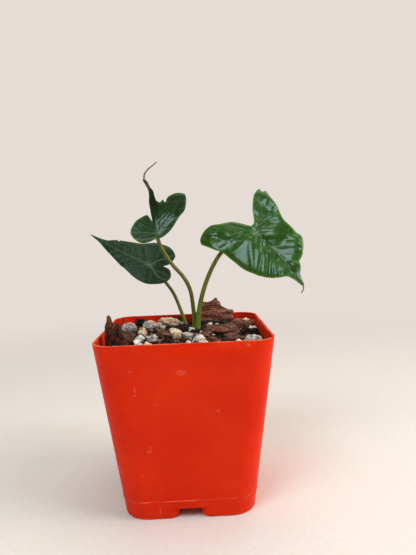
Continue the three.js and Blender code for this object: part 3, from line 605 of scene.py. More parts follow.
# Dark and light tissue, veins, midrib, edge, roughness, gloss, how clearly the veins show, and dust
skins = {
    "right": leaf_skin("waxy_leaf_right", "#1f430a", "#305a12", "#839866", "#33371a", "#557a12",
                       0.22, 0.42, 0.2),
    "middle": leaf_skin("waxy_leaf_middle", "#0f2607", "#1c3c10", "#567354", "#22381a", "#345a11",
                        0.3, 0.45, 0.4),
    "left": leaf_skin("satin_leaf_left", "#0f210b", "#1a3111", "#647e6a", "#284029", "#223e17",
                      0.42, 0.18, 0.5, 0.12),
}
undersides = {
    "right": leaf_skin("leaf_underside_right", "#476a34", "#5b8044", "#8aa562", "#8a9b5e", "#66862f",
                       0.5, 0.3, 0.6),
    "middle": leaf_skin("leaf_underside_middle", "#395a2b", "#4d7339", "#7c985a", "#7f935a", "#547529",
                        0.48, 0.3, 0.6),
    "left": leaf_skin("leaf_underside_left", "#335034", "#446443", "#74926a", "#74926a", "#466434",
                      0.52, 0.3, 0.6),
}

# %% [markdown]
# ## The leaf blades
#
# A blade is drawn flat first, as it would lie pressed in a herbarium: x runs along the midrib from the point
# where the stalk joins it, and y to the side. The outline is a ring that is extruded inwards to the junction,
# which gives even spokes and rings. Then the flat blade is bent: its midrib follows a curve in space and a
# lift raises each point. A sculpted grid could do it too, but here the outline stays exact.
#
# Each real leaf has its own dents. A crease is a ridge or a groove: a line on the flat blade, half its width
# and its height. A swell tilts a patch of the blade: its middle, its reach along x and y, and its two slopes.
# The glossy leaves mirror the window where these turn the skin towards it. All lengths are in mm.

# %% Outlines, midribs and lifts of the three blades
def from_midrib(y):
    """Distance from the midrib, rounded off so that the fold has a soft bottom."""
    return np.hypot(y, 1.5) - 1.5


def smooth_step(low, high, x):
    t = np.clip((x - low) / (high - low), 0, 1)
    return t * t * (3 - 2 * t)


def lift_right(x, y):
    """A shallow trough along the midrib. The lower half turns over sooner and then falls evenly."""
    d = from_midrib(y)
    upper = 0.24 * d - 0.0095 * d ** 2
    lower = 0.2 * d - 0.185 * (np.hypot(d - 6, 3) + d - 6.7)
    below = smooth_step(1, -3, y) * smooth_step(-8, 4, x)
    return upper + below * (lower - upper) - 0.004 * np.minimum(x, 0) ** 2


def lift_left(x, y):
    d = from_midrib(y)
    wave = 0.3 * np.sin(x * 0.5 - y * 0.3) * smooth_step(4, 16, np.abs(y))
    return 0.12 * d - 0.008 * d ** 2 - 0.006 * np.minimum(x, 0) ** 2 + wave


def lift_middle(x, y):
    lip = 1.3 * smooth_step(-1, -4.8, x) * smooth_step(0.5, 4, y)
    return np.where(y > 0, 0.009, 0.018) * y ** 2 + 0.012 * np.minimum(x, 0) ** 2 + lip


LEAVES = {
    "right": {
        "junction": (47.9, 8, 160.3),
        "spine": [(60.6, -3, 145.2), (71.9, -16, 128.2)],
        "face": (-0.14, -0.9, 0.42),
        "lift": lift_right,
        "runs": [
            [(47.2, -0.3), (46.2, 0.7), (42.4, 1.6), (39.3, 2.8), (36.4, 5.4), (32.4, 7.3), (30.7, 10.4),
             (27.2, 14), (22.8, 17.6), (19.8, 18.7), (16.8, 18)],
            [(16.8, 18), (11, 18), (4, 18.4), (-5, 21.6), (-13, 23.2), (-20.5, 24.8)],
            [(-20.5, 24.8), (-21.4, 22.8), (-25.3, 23)],
            [(-25.3, 23), (-24.3, 19.5), (-22.3, 15.9), (-15, 9.2), (-8.6, 5), (-5.9, 2.7), (-5.9, 0.4)],
            [(-5.9, 0.4), (-12.8, -3.6), (-17.6, -7.4), (-21.1, -13.1), (-25, -18.6), (-25, -24.6),
             (-22.4, -29.6), (-18.9, -31.3)],
            [(-18.9, -31.3), (-10, -28), (-4, -25.2), (4.3, -23.5), (13.7, -22.3), (22.9, -19),
             (27.8, -16.3), (32.3, -12.4), (35.3, -7.7), (36.7, -4.9), (39.8, -3), (43.4, -1.9), (46.5, -1.1),
             (47.2, -0.3)],
        ],
        "lobe_ribs": [[(0, 0), (-1.4, 5.4), (-5.6, 9.4), (-10.4, 12.6), (-18.6, 16), (-22, 17)],
                      [(0, 0), (-3.8, -6.4), (-7.8, -10.4), (-10.6, -15), (-16.2, -21.6)]],
        "quilt": 0.1,
        "creases": [
            ([(-0.3, 2.5), (-2.2, 9.8), (-1.6, 14.4), (-1, 19.8)], 0.9, -0.3),
            ([(1.2, -3), (5.6, -10), (12.2, -14.4), (20.6, -20)], 1.8, 0.35),
            ([(6.5, -0.6), (14, -8.2), (18, -12.6), (24, -18)], 1.0, -0.34),
            ([(15.2, -3.5), (20.4, -8), (28.5, -14.4)], 1.0, -0.38),
            ([(20.5, -3.5), (25, -7.6), (31.5, -12)], 0.8, -0.32),
            ([(24.5, -3), (28.5, -5.6), (34.4, -8.6)], 0.8, -0.3),
            ([(-5.6, -17), (-0.8, -23)], 1.6, -0.25),
            ([(-1.2, -4.5), (-5.8, -12.4), (-9.8, -17.8), (-20, -26.4)], 1.9, -0.5),
        ],
        "swells": [
            ((-8, 19.4), (11, 6), (0, 0.44)),
            ((1.6, 13.8), (3.2, 4.5), (0.05, 0.26)),
            ((9.5, 7), (5.5, 6.5), (-0.34, -0.02)),
            ((14.5, 6), (4.5, 4), (-0.3, 0)),
            ((33, 4.5), (3.5, 2.5), (0, -0.22)),
            ((1, 13.2), (4, 3.5), (-0.22, 0.15)),
            ((35, 1), (4, 4), (-0.28, 0)),
            ((-11, -17.5), (6, 4), (0, 0.25)),
            ((14.5, 11), (4.5, 5), (-0.22, -0.05)),
            ((12.5, -5.8), (5.5, 4), (0, -0.22)),
            ((17.5, -11), (6, 5), (0, -0.2)),
            ((22, -4.5), (5, 3), (0, -0.16)),
            ((30.5, -5), (2.4, 2.2), (0, 0.2)),
            ((34.5, -2.9), (2.2, 1.4), (0, 0.15)),
            ((-9.5, -17.5), (4, 4), (-0.2, 0.1)),
            ((-12, -25), (5, 4), (-0.14, -0.15)),
            ((-6.5, 6), (6, 4), (0.08, -0.34)),
        ],
    },
    "left": {
        "junction": (-21.4, 14, 141.8),
        "spine": [(-39.9, 19, 151.1), (-60.4, 20, 163.2)],
        "face": (0.1, -0.85, 0.5),
        "lift": lift_left,
        "runs": [
            [(45.1, 0), (38.2, 1.5), (33.8, 3.1), (27.8, 5), (21.6, 7.3), (14.4, 9.7), (4.8, 12.6),
             (-3.6, 13.3), (-10.6, 9.9), (-14.6, 6.1), (-15.8, 1.2), (-12.8, -3.1), (-7.7, -3.2)],
            [(-7.7, -3.2), (-10.6, -6.5), (-11.4, -11), (-10.4, -14.7), (-3.9, -17.9), (4.5, -16.6),
             (12, -11.9), (17.8, -9.8), (22.2, -8), (26.1, -6.5)],
            [(26.1, -6.5), (26.9, -5), (28.3, -5.5)],
            [(28.3, -5.5), (30.8, -3.7), (33.8, -1.8), (38.9, -0.8), (45.1, 0)],
        ],
        "lobe_ribs": [[(0, 0), (-5, 3), (-10, 5), (-14, 4.5)], [(0, 0), (-3, -5), (-7, -10), (-9.5, -13.5)]],
        "quilt": 0.25,
        "creases": [],
        "swells": [((6, -9), (8, 6), (0, -0.06)), ((4, 7), (9, 5), (0, -0.12))],
    },
    "middle": {
        "junction": (-14.2, -6, 162),
        "spine": [(-15.9, -3, 170.6), (-16.7, -3, 178.5), (-17.4, -4, 185.1), (-19.2, -5, 190.1),
                  (-21.2, -6, 194.3)],
        "face": (0.05, -0.8, 0.55),
        "lift": lift_middle,
        "runs": [
            [(19, 0.6), (20.5, -2.2)],
            [(20.5, -2.2), (18.8, -4.7)],
            [(18.8, -4.7), (20.4, -6.7)],
            [(20.4, -6.7), (18.5, -7.7)],
            [(18.5, -7.7), (19.3, -8.7), (21.4, -10), (22.5, -14.1), (22.3, -18), (21.2, -20), (15.8, -19.6),
             (9.9, -17.6), (6.7, -14.8), (0.5, -8.9), (-3, -3.1), (-3.8, 1.2), (-5.6, 6.7), (-5.6, 10.7),
             (-2.6, 14), (2.6, 15.9), (8.7, 12.1), (11.1, 8), (12.2, 4.2), (10.4, 2.8), (8, 1.6)],
            [(8, 1.6), (19, 0.6)],
        ],
        "lobe_ribs": [[(0, 0), (1, 5), (2, 10), (2.5, 14.5)], [(0, 0), (5, -6), (12, -12), (20, -17)]],
        "quilt": 0.06,
        "creases": [([(-1.4, 10.2), (-1.6, 7.4), (-1.2, 4.2), (-0.8, 1.2)], 0.7, 0.45)],
        "swells": [((11, -8), (9, 7), (-0.17, 0)), ((2.6, -3.8), (2, 2), (-0.08, -0.12)),
                   ((2.5, 8.5), (4.5, 5), (-0.1, 0))],
    },
}

# %% Where a point of the flat blade goes when the blade is bent
RIB_STEPS = 400


def bent_frame(leaf, x):
    """The midrib's point at distance x, with the directions along, across and up there."""
    curve = smooth_curve([leaf["junction"]] + leaf["spine"], RIB_STEPS, evenness=0)
    length = np.linalg.norm(np.diff(curve, axis=0), axis=1).sum()
    tangents = unit(np.gradient(curve, axis=0))
    step = np.clip(x / length, 0, 1) * (RIB_STEPS - 1)
    at = [np.interp(step, np.arange(RIB_STEPS), curve[:, k]) for k in range(3)]
    way = [np.interp(step, np.arange(RIB_STEPS), tangents[:, k]) for k in range(3)]
    along = unit(np.stack(way, axis=-1))
    point = np.stack(at, axis=-1) + along * np.minimum(x, 0)[..., None]
    across = unit(np.cross(np.array(leaf["face"]), along))
    return point, along, across, np.cross(along, across)


def bent(leaf, x, y, extra=0.0):
    """The place of the flat point (x, y), raised by the leaf's own lift and an extra one."""
    point, along, across, up = bent_frame(leaf, x)
    return point + across * y[..., None] + up * (leaf["lift"](x, y) + extra)[..., None]


# %% [markdown]
# The veins follow a rule, as they do on the plant. The midrib and a rib into each back lobe are the main
# ribs. Side veins leave each rib at even steps, first steeply and then bending towards the rib's tip. The
# blade sinks along the veins, and the tissue between two of them swells like a quilt. The creases and swells
# are added, and the margin rolls down a little. One value is taken off, so that the joint stays in place.

# %% Main ribs and side veins
VEIN_PARTS, VEIN_BEND = 8, 0.05  # stretches of a side vein, and how far each turns forward, radians


def side_veins(rib, starts, angle, reach):
    """Veins to both sides of a rib at distances from its start. They leave at an angle and bend forward."""
    steps = smooth_curve(rib, 200, evenness=0)
    run = np.linspace(0, np.linalg.norm(np.diff(steps, axis=0), axis=1).sum(), len(steps))
    ways = unit(np.gradient(steps, axis=0))
    veins = []
    for k in np.searchsorted(run, starts):
        if k == len(steps):
            break
        for side in (-1, 1):
            points = [steps[k]]
            for part in range(VEIN_PARTS):
                turn = side * (angle - VEIN_BEND * part)
                c, s = math.cos(turn), math.sin(turn)
                way = np.array([ways[k][0] * c - ways[k][1] * s, ways[k][0] * s + ways[k][1] * c])
                points.append(points[-1] + way * reach / VEIN_PARTS)
            veins.append(np.array(points))
    return veins


MIDRIB_DEPTH = 0.45  # mm


def vein_lines(leaf):
    """(points, half width, depth) of every rib and side vein on the flat blade, in mm."""
    tip = max(p[0] for run in leaf["runs"] for p in run)
    midrib = np.array([(0, 0), (tip * 0.5, 0), (tip, 0)], float)
    lines = [(midrib, 0.55, MIDRIB_DEPTH)]
    starts = np.linspace(0.04, 0.82, 7) * tip
    lines += [(v, 0.4, 0.22) for v in side_veins(midrib, starts, 0.92, 32)]
    for rib in leaf["lobe_ribs"]:
        lines.append((smooth_curve(rib, 24, evenness=0), 0.5, 0.4))
        lines += [(v, 0.36, 0.18) for v in side_veins(rib, np.arange(3, 40, 7), 0.8, 16)]
    return lines


def distance_to(line, points):
    """The distance of each point from a line of straight stretches."""
    best = np.full(len(points), 1e9)
    for a, b in zip(line[:-1], line[1:]):
        way = b - a
        t = np.clip((points - a) @ way / (way @ way), 0, 1)
        best = np.minimum(best, np.linalg.norm(points - a - t[:, None] * way, axis=1))
    return best


# %% Drawing, bending and thickening a blade
OUTLINE_STEP = 0.55  # between two points of the outline, mm
RINGS = 56
THICKNESS = 0.5  # mm
QUILT_REACH = 1.9  # how far from a vein the tissue has risen by about two thirds, mm
MARGIN_DROP = 0.045  # the margin falls by this times the square of how far it is rolled, per mm


def blade_outline(leaf):
    """Each run of the outline is a smooth curve, and runs meet at corners."""
    points = []
    for run in leaf["runs"]:
        length = np.linalg.norm(np.diff(np.array(run), axis=0), axis=1).sum()
        points.append(smooth_curve(run, max(3, round(length / OUTLINE_STEP)), evenness=0)[:-1])
    return np.vstack(points)


def flat_blade(outline):
    """The flat blade: the outline's ring, extruded inwards to the junction."""
    rings = [np.column_stack([outline * scale, np.zeros(len(outline))])
             for scale in np.linspace(1, 1 / RINGS, RINGS)]
    return loft(rings, close_start=False)


def blade(side):
    leaf = LEAVES[side]
    outline = blade_outline(leaf)
    piece = piece_from("blade_" + side, flat_blade(outline), [skins[side], undersides[side]],
                       ["leaf_blade_" + side], drawn=False)
    flat = per_point(piece.data, "co")[:, :2]
    veins = np.zeros(len(flat))
    sunk = np.zeros(len(flat))
    nearest = np.full(len(flat), 1e9)
    for line, half, depth in vein_lines(leaf):
        away = distance_to(line, flat)
        veins = np.maximum(veins, np.exp(-(away / half) ** 2) * depth / MIDRIB_DEPTH)
        sunk = np.maximum(sunk, 0.55 * depth * np.exp(-(away / (2 * half)) ** 2))
        nearest = np.minimum(nearest, away)
    margin = distance_to(np.vstack([outline, outline[:1]]), flat)
    quilt = leaf["quilt"] * (1 - np.exp(-(nearest / QUILT_REACH) ** 2)) * smooth_step(0.3, 4, margin)
    relief = quilt - sunk
    for points, width, height in leaf["creases"]:
        relief += height * np.exp(-(distance_to(smooth_curve(points, 20, evenness=0), flat) / width) ** 2)
    for middle, reach, slopes in leaf["swells"]:
        off = flat - middle
        relief += off @ slopes * np.exp(-((off / reach) ** 2).sum(axis=1))
    # The margin rolls over its last 2 mm, and over more towards the tip and along the lower half.
    x, y = flat.T
    rolled = 2 + 4 * smooth_step(13, 17, x) * smooth_step(36, 30, x) * smooth_step(0, 3, y)
    rolled += 1.5 * smooth_step(-3, -8, y) * smooth_step(-4, 3, x)
    relief -= MARGIN_DROP * np.maximum(0, rolled - margin) ** 2
    relief -= relief[np.argmin(np.linalg.norm(flat, axis=1))]
    carry(piece.data, "flat", np.column_stack([flat, np.zeros(len(flat))]))
    carry(piece.data, "vein", veins)
    carry(piece.data, "margin", margin)
    set_points(piece.data, to_frame(bent(leaf, x, y, relief)))
    if per_point(piece.data, "normal").sum(axis=0) @ np.array(leaf["face"]) < 0:
        piece.data.flip_normals()
    thick = piece.modifiers.new("thickness", "SOLIDIFY")
    thick.thickness = THICKNESS * MM
    thick.offset = 0
    thick.material_offset = 1
    apply_modifiers(piece)
    report(piece)
    return piece


blades = {side: blade(side) for side in LEAVES}

# %% [markdown]
# ## Dry tips and the torn strip
#
# The right blade ends in a short dry thread. The middle blade was torn while it unrolled: past its lobes only
# a narrow dark strip is left, which twists and ends in a long dry thread. Both threads are tapered tubes, and
# the strip is a loft whose flat section turns on its way.

# %% Dried leaf tissue
def dried_tissue():
    """Dead leaf tissue: papery and grey-brown, with streaks and specks of about 1.2 mm."""
    made, tree = new_material("dried_leaf_tissue")
    place = node(tree, "TexCoord").outputs["Object"]
    streaks = node(tree, "TexNoise", pattern(place, 1.2, Detail=4.0))
    colour = node(tree, "ValToRGB", {0: streaks.outputs[0]}, ramp=[(0.35, "#46423a"), (0.7, "#8b857a")])
    bump = node(tree, "Bump", {"Height": streaks.outputs[0], "Distance": 0.1 * MM, "Strength": 0.8})
    return finish_material(made, colour.outputs[0], 0.75, bump.outputs[0])


THREADS = {  # radius at the blade and at the end, steps, and points along the thread, mm
    "right": ((0.5, 0.26), 24, [(71.6, -15.7, 128.8), (71.8, -16, 125.5), (70.4, -16.2, 123.2)]),
    "middle": ((0.62, 0.3), 60, [(-21, -6, 193.4), (-20.4, -6, 197.4), (-18, -7, 200.1), (-15.1, -8, 202.1),
                                 (-12.7, -9, 203.8)]),
}
dried = dried_tissue()
for side, (radii, steps, points) in THREADS.items():
    bm = loft(tube_rings(smooth_curve(points, steps), np.linspace(*radii, steps), sides=10))
    report(piece_from("thread_" + side, bm, [dried], ["leaf_blade_" + side]))


# %% The twisted strip of the middle blade
# Along the midrib, and the edges to its left and right, mm
STRIP = [(3, 0.6, -0.6), (7, 1.2, -1.9), (11, 1.6, -2.7), (15, 1.8, -3.1), (20, 1.9, -2.6), (23, 1.4, -2),
         (26, 0.9, -2.1), (28.5, 0.6, -1.5), (31, 1.0, -1.7), (33, 1.1, -1.4), (34.3, 0.7, -0.7)]
STRIP_TWIST, TWIST_FROM, TWIST_TO, STRIP_THICK = 0.5, 22, 34, 0.9  # radians, and mm


def twisted_strip():
    leaf = LEAVES["middle"]
    stations = smooth_curve(STRIP, 70, evenness=0)
    point, along, across, up = bent_frame(leaf, stations[:, 0])
    angles = np.linspace(0, 2 * math.pi, 24, endpoint=False)
    rings = []
    for k, (x, left, right) in enumerate(stations):
        turn = STRIP_TWIST * float(smooth_step(TWIST_FROM, TWIST_TO, np.array(x)))
        wide = across[k] * math.cos(turn) + up[k] * math.sin(turn)
        high = up[k] * math.cos(turn) - across[k] * math.sin(turn)
        half = (left - right) / 2
        folded = 0.35 * half * np.cos(angles) ** 2
        section = np.outer((left + right) / 2 + half * np.cos(angles), wide)
        section += np.outer(STRIP_THICK / 2 * np.sin(angles) + folded - 0.2, high)
        rings.append(point[k] + section)
    return loft(rings)


strip_skin = leaf_skin("waxy_strip", "#0c1c06", "#18300f", "#2c4520", "#22381a", "#1c3611", 0.4, 0.2, 0.3)
strip = piece_from("strip_middle", twisted_strip(), [strip_skin], ["leaf_blade_middle"])
carry(strip.data, "margin", np.full(len(strip.data.vertices), 5.0))
carry(strip.data, "flat", to_drawing(per_point(strip.data, "co")))
report(strip)

# %% [markdown]
# ## The stalks
# Each petiole is a smooth round stalk, thicker and paler where its sheath clasps the next one at the base,
# and it runs into the back of its blade as the start of the midrib. A curve with a bevel would be as quick,
# but a loft lets the base swell and the end thin out.

# %% Petiole skin
def petiole_skin():
    """Live stalk tissue: satin, green, with fine lengthwise lines, and paler towards the base."""
    made, tree = new_material("petiole_skin")
    place = node(tree, "TexCoord").outputs["Object"]
    height = node(tree, "SeparateXYZ", {0: place}).outputs[2]
    low = node(tree, "MapRange", {0: height, 1: 99 * MM, 2: 122 * MM, 3: 1.0, 4: 0.0}, **SMOOTH).outputs[0]
    stretched = node(tree, "Mapping", {"Vector": place, "Scale": (1, 1, 0.12)}).outputs[0]
    lines = node(tree, "TexNoise", pattern(stretched, 0.9, Detail=3.0))
    colour = node(tree, "ValToRGB", {0: lines.outputs[0]}, ramp=[(0.35, "#575d18"), (0.68, "#787b2a")])
    colour = node(tree, "Mix",
                  {FACTOR: node(tree, "Math", {0: low, 1: 0.6}, operation="MULTIPLY").outputs[0],
                   FIRST: colour.outputs[0], SECOND: linear("#6f7f2c")}, **COLOURS).outputs[MIXED]
    bump = node(tree, "Bump", {"Height": lines.outputs[0], "Distance": 0.06 * MM, "Strength": 0.7})
    return finish_material(made, colour, 0.36, bump.outputs[0], gloss=0.35, ior=1.45)


PETIOLES = {  # radius at the base and under the blade, and points along the stalk, mm
    "right": ((1.75, 1.25), [(8, 10.6, 95.4), (8.2, 11, 101), (9.6, 12.5, 112.2), (13.1, 13, 125.1),
                             (18.6, 13.5, 137.9), (25, 14, 147.7), (36.3, 13, 156.9)]),
    "middle": ((1.5, 1.15), [(5.2, 14.8, 95.4), (6, 15, 101), (5.6, 13, 112.3), (4.1, 9, 124.9),
                             (0.5, 6, 133.2), (-6.7, 2.5, 142.5), (-11.8, -0.5, 151.3), (-14.2, -3, 157.8)]),
    "left": ((1.3, 1.0), [(1, 18.2, 95.4), (0.1, 18.8, 101), (-3.6, 20, 112.7), (-7.3, 21, 122),
                          (-11.7, 21, 128.8), (-17.5, 19, 136.4)]),
}
green_stalk = petiole_skin()


def petiole(side):
    """The stalk swells at its base, and it thins out as it runs into the back of the blade."""
    radii, points = PETIOLES[side]
    point, _, _, up = bent_frame(LEAVES[side], np.array([0.0, 4.0]))
    under = [tuple(point[0] - (radii[1] + 0.25) * up[0]), tuple(point[1] - 0.5 * up[1])]
    path = smooth_curve(points + under, 120)
    u = np.linspace(0, 1, len(path))
    swell = 0.22 * np.exp(-(u / 0.1) ** 2)  # the sheath, over the first tenth
    gone = smooth_step(4.5, 0, np.linalg.norm(path - np.array(under[1]), axis=1))  # over the last 4.5 mm
    radius = (radii[0] + (radii[1] - radii[0]) * np.sqrt(u) + swell) * (1 - 0.75 * gone)
    bm = loft(tube_rings(path, radius, sides=28))
    report(piece_from("stalk_" + side, bm, [green_stalk], ["petiole_" + side]))


for side in PETIOLES:
    petiole(side)


# %% [markdown]
# ## The potting mix
#
# Aroids are grown in an open mix of composted bark, fibre and pumice. Its body is a dark bed, heaped a
# little round the plant, that fills the pot and the hollow feet. The bed is a loft up the inside of the wall
# that turns inwards at the top, where each ring of points takes the height of a rough surface.

# %% Damp potting mix
def damp_mix():
    """Composted bark and peat: nearly black, matt, with brown fibre in lumps of about 2.5 mm."""
    made, tree = new_material("damp_potting_mix")
    place = node(tree, "TexCoord").outputs["Object"]
    lumps = node(tree, "TexNoise", pattern(place, 2.5, Detail=6.0))
    colour = node(tree, "ValToRGB", {0: lumps.outputs[0]},
                  ramp=[(0.35, "#0e0a09"), (0.55, "#231814"), (0.75, "#4a352b")])
    bump = node(tree, "Bump", {"Height": lumps.outputs[0], "Distance": 0.6 * MM, "Strength": 1.0})
    return finish_material(made, colour.outputs[0], 0.9, bump.outputs[0], gloss=0.12)


# %% The bed of mix
MIX_EDGE = 96.6  # height of the mix at the wall, mm
HEAP_RISE, HEAP_SPREAD, HEAP_CENTRE, RIPPLE = 2.9, 22.0, (3, 8), 0.55
CLEARANCE = 0.3  # between the mix and the pot, mm
BED_RINGS = 70


def mix_top(x, y):
    """The height of the mix's surface, as packed."""
    cx, cy = HEAP_CENTRE
    heap = HEAP_RISE * math.exp(-((x - cx) ** 2 + (y - cy) ** 2) / (2 * HEAP_SPREAD ** 2))
    return MIX_EDGE + heap + RIPPLE * math.sin(x * 0.42 + 1.3 * math.sin(y * 0.23)) * math.cos(y * 0.37)


def rough_top(x, y):
    """The same with lumps and hollows of 2 to 6 mm."""
    spot = Vector((x, y, 0))
    lumps = 0.9 * noise.noise(spot * 0.17) + 0.7 * noise.noise(spot * 0.42) + 0.35 * noise.noise(spot * 1.1)
    return mix_top(x, y) + lumps - 0.5


shore = wall_ring(MIX_EDGE, WALL + CLEARANCE)
rings = [wall_ring(z, WALL + CLEARANCE) for z in (FLOOR_TOP + CLEARANCE, 40, 80, MIX_EDGE - 3)]
for scale in np.linspace(1, 1 / BED_RINGS, BED_RINGS):
    ring = shore * [scale, scale, 1]
    for point in ring:
        point[2] = rough_top(point[0], point[1])
    rings.append(ring)
bm = loft(rings)
for quarter in range(4):
    add_shape(bm, foot_hollow(quarter, CLEARANCE))
report(piece_from("mix_bed", bm, [damp_mix()], ["potting_mix"]))

# %% [markdown]
# ## Bark and stone
#
# Pine bark splits into thin reddish plates with darker, corky edges. Pumice and perlite are glassy foams:
# pale, dull and full of pits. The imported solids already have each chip's outline. A copy of each is remeshed
# to an even skin, and a relief is pushed into it: long plates and grooves for bark, pits for stone.

# %% Pine bark
def pine_bark(name, dark, body, light, patch, grain=(0.45, 1.0, 1.5)):
    """Weathered bark: matt plates, streaked along the grain every 1 mm or so, with lighter fibre."""
    made, tree = new_material(name)
    place = node(tree, "TexCoord").outputs["Object"]
    grained = node(tree, "Mapping", {"Vector": place, "Scale": grain}).outputs[0]
    plates = node(tree, "TexNoise", pattern(grained, 4, Detail=7.0, Roughness=0.65, Distortion=0.8))
    colour = node(tree, "ValToRGB", {0: plates.outputs[0]}, ramp=[(0.3, dark), (0.5, body), (0.72, light)])
    broad = node(tree, "TexNoise", pattern(place, 9, Detail=3.0))
    colour = node(tree, "Mix",
                  {FACTOR: node(tree, "MapRange", {0: broad.outputs[0], 1: 0.52, 2: 0.7, 3: 0, 4: 0.5},
                                **SMOOTH).outputs[0], FIRST: colour.outputs[0], SECOND: linear(patch)},
                  **COLOURS).outputs[MIXED]
    fibres = node(tree, "TexNoise", pattern(grained, 0.8, Detail=3.0))
    colour = node(tree, "Mix",
                  {FACTOR: node(tree, "MapRange", {0: fibres.outputs[0], 1: 0.58, 2: 0.75, 3: 0, 4: 0.35},
                                **SMOOTH).outputs[0], FIRST: colour, SECOND: linear("#a58876")},
                  **COLOURS).outputs[MIXED]
    colour = node(tree, "Mix",
                  {FACTOR: node(tree, "MapRange", {0: fibres.outputs[0], 1: 0.34, 2: 0.46, 3: 0.85, 4: 0},
                                **SMOOTH).outputs[0], FIRST: colour, SECOND: linear(dark)},
                  **COLOURS).outputs[MIXED]
    relief = node(tree, "Math",
                  {0: plates.outputs[0],
                   1: node(tree, "Math", {0: fibres.outputs[0], 1: 0.4}, operation="MULTIPLY").outputs[0]},
                  operation="ADD").outputs[0]
    bump = node(tree, "Bump", {"Height": relief, "Distance": 0.7 * MM, "Strength": 1.0})
    return finish_material(made, colour, 0.82, bump.outputs[0], gloss=0.12)


# %% Foamed stone
def foamed_stone(name, dark, body, light, pit):
    """Pumice or perlite: matt foam with pits of 0.5 to 1 mm, painted dark as shade, and a few dark grains."""
    made, tree = new_material(name)
    place = node(tree, "TexCoord").outputs["Object"]
    cloud = node(tree, "TexNoise", pattern(place, 3.5, Detail=5.0))
    colour = node(tree, "ValToRGB", {0: cloud.outputs[0]}, ramp=[(0.3, dark), (0.5, body), (0.7, light)])
    foam = node(tree, "TexVoronoi", pattern(place, 0.9, Randomness=1.0))
    pits = node(tree, "MapRange", {0: foam.outputs["Distance"], 1: 0.12, 2: 0.38, 3: 1.0, 4: 0.0},
                **SMOOTH).outputs[0]
    grains = node(tree, "TexNoise", pattern(place, 0.8, Detail=2.0))
    # The pits are painted darker as shade in the hollows, most where the foam is darker.
    pit_shade = node(tree, "Math",
                 {0: pits,
                  1: node(tree, "MapRange", {0: cloud.outputs[0], 1: 0.35, 2: 0.6, 3: 0.9, 4: 0.35},
                          **SMOOTH).outputs[0]}, operation="MULTIPLY").outputs[0]
    colour = node(tree, "Mix", {FACTOR: pit_shade, FIRST: colour.outputs[0], SECOND: linear(pit)},
                  **COLOURS).outputs[MIXED]
    colour = node(tree, "Mix",
                  {FACTOR: node(tree, "MapRange", {0: grains.outputs[0], 1: 0.62, 2: 0.72, 3: 0, 4: 0.6},
                                **SMOOTH).outputs[0], FIRST: colour, SECOND: linear(pit)},
                  **COLOURS).outputs[MIXED]
    relief = node(tree, "Math", {0: grains.outputs[0], 1: pits}, operation="SUBTRACT").outputs[0]
    bump = node(tree, "Bump", {"Height": relief, "Distance": 0.25 * MM, "Strength": 0.8})
    return finish_material(made, colour, 0.88, bump.outputs[0])


UPRIGHT = (1.3, 1.0, 0.35)  # the scale of the grain where it runs upwards
finishes = {
    "bark": pine_bark("weathered_pine_bark", "#1c0e0a", "#6e4334", "#ac7f6e", "#7a3f28"),
    "slab": pine_bark("reddish_pine_bark", "#2e150e", "#945a48", "#c08c79", "#9a523c"),
    "upright": pine_bark("upright_pine_bark", "#1a0d0a", "#50322a", "#835b4c", "#844826", UPRIGHT),
    "charred_bark": pine_bark("charred_pine_bark", "#0c0807", "#241917", "#4d3a31", "#171110"),
    "pumice_grey": foamed_stone("grey_pumice", "#82756e", "#b4a79f", "#ddd3ca", "#40362f"),
    "pumice_cream": foamed_stone("cream_pumice", "#a58468", "#d8b799", "#eddac4", "#5e4433"),
    "perlite_white": foamed_stone("white_perlite", "#b3a79b", "#dcd1c6", "#f2eae2", "#7c6a5c"),
    "corm_brown": pine_bark("corm_skin", "#4a3524", "#7b5c3f", "#a5845f", "#6a4a30"),
}

# %% Relief of bark and stone
PLATE, GROOVE, PIT = 0.42, 0.7, 0.65  # height of a plate's step, depth of a groove and of a pit, mm


def bark_relief(spot, grain=(0.5, 1.0, 1.8)):
    """Thin plates that end in sharp steps, and grooves along the grain, in mm."""
    grained = spot * Vector(grain)
    plates = 4 * noise.noise(grained * 0.2)
    steps = math.floor(plates) + min(1, (plates % 1) * 5)
    relief = PLATE * steps - GROOVE * abs(noise.noise(grained * 0.7))
    return relief + 0.25 * noise.noise(grained * 1.7) + 0.12 * noise.noise(grained * 3.6)


def stone_relief(spot):
    """A lumpy broken surface with round pits, in mm."""
    nearest = noise.voronoi(spot * 0.7)[0][0]
    pit = max(0.0, 1 - nearest / 0.38)
    lumps = 1.0 * noise.noise(spot * 0.3) + 0.6 * noise.noise(spot * 0.75) + 0.4 * noise.noise(spot * 1.9)
    return lumps - PIT * pit


# %% Wearing a copy of each packed chip
OTHER_FINISH = {"bark_slab_back": "slab", "bark_chunk_left": "upright", "bark_spike_left": "upright"}
STONE_GROWTH = 1.24  # the relief wears stones smaller, so their copies start larger


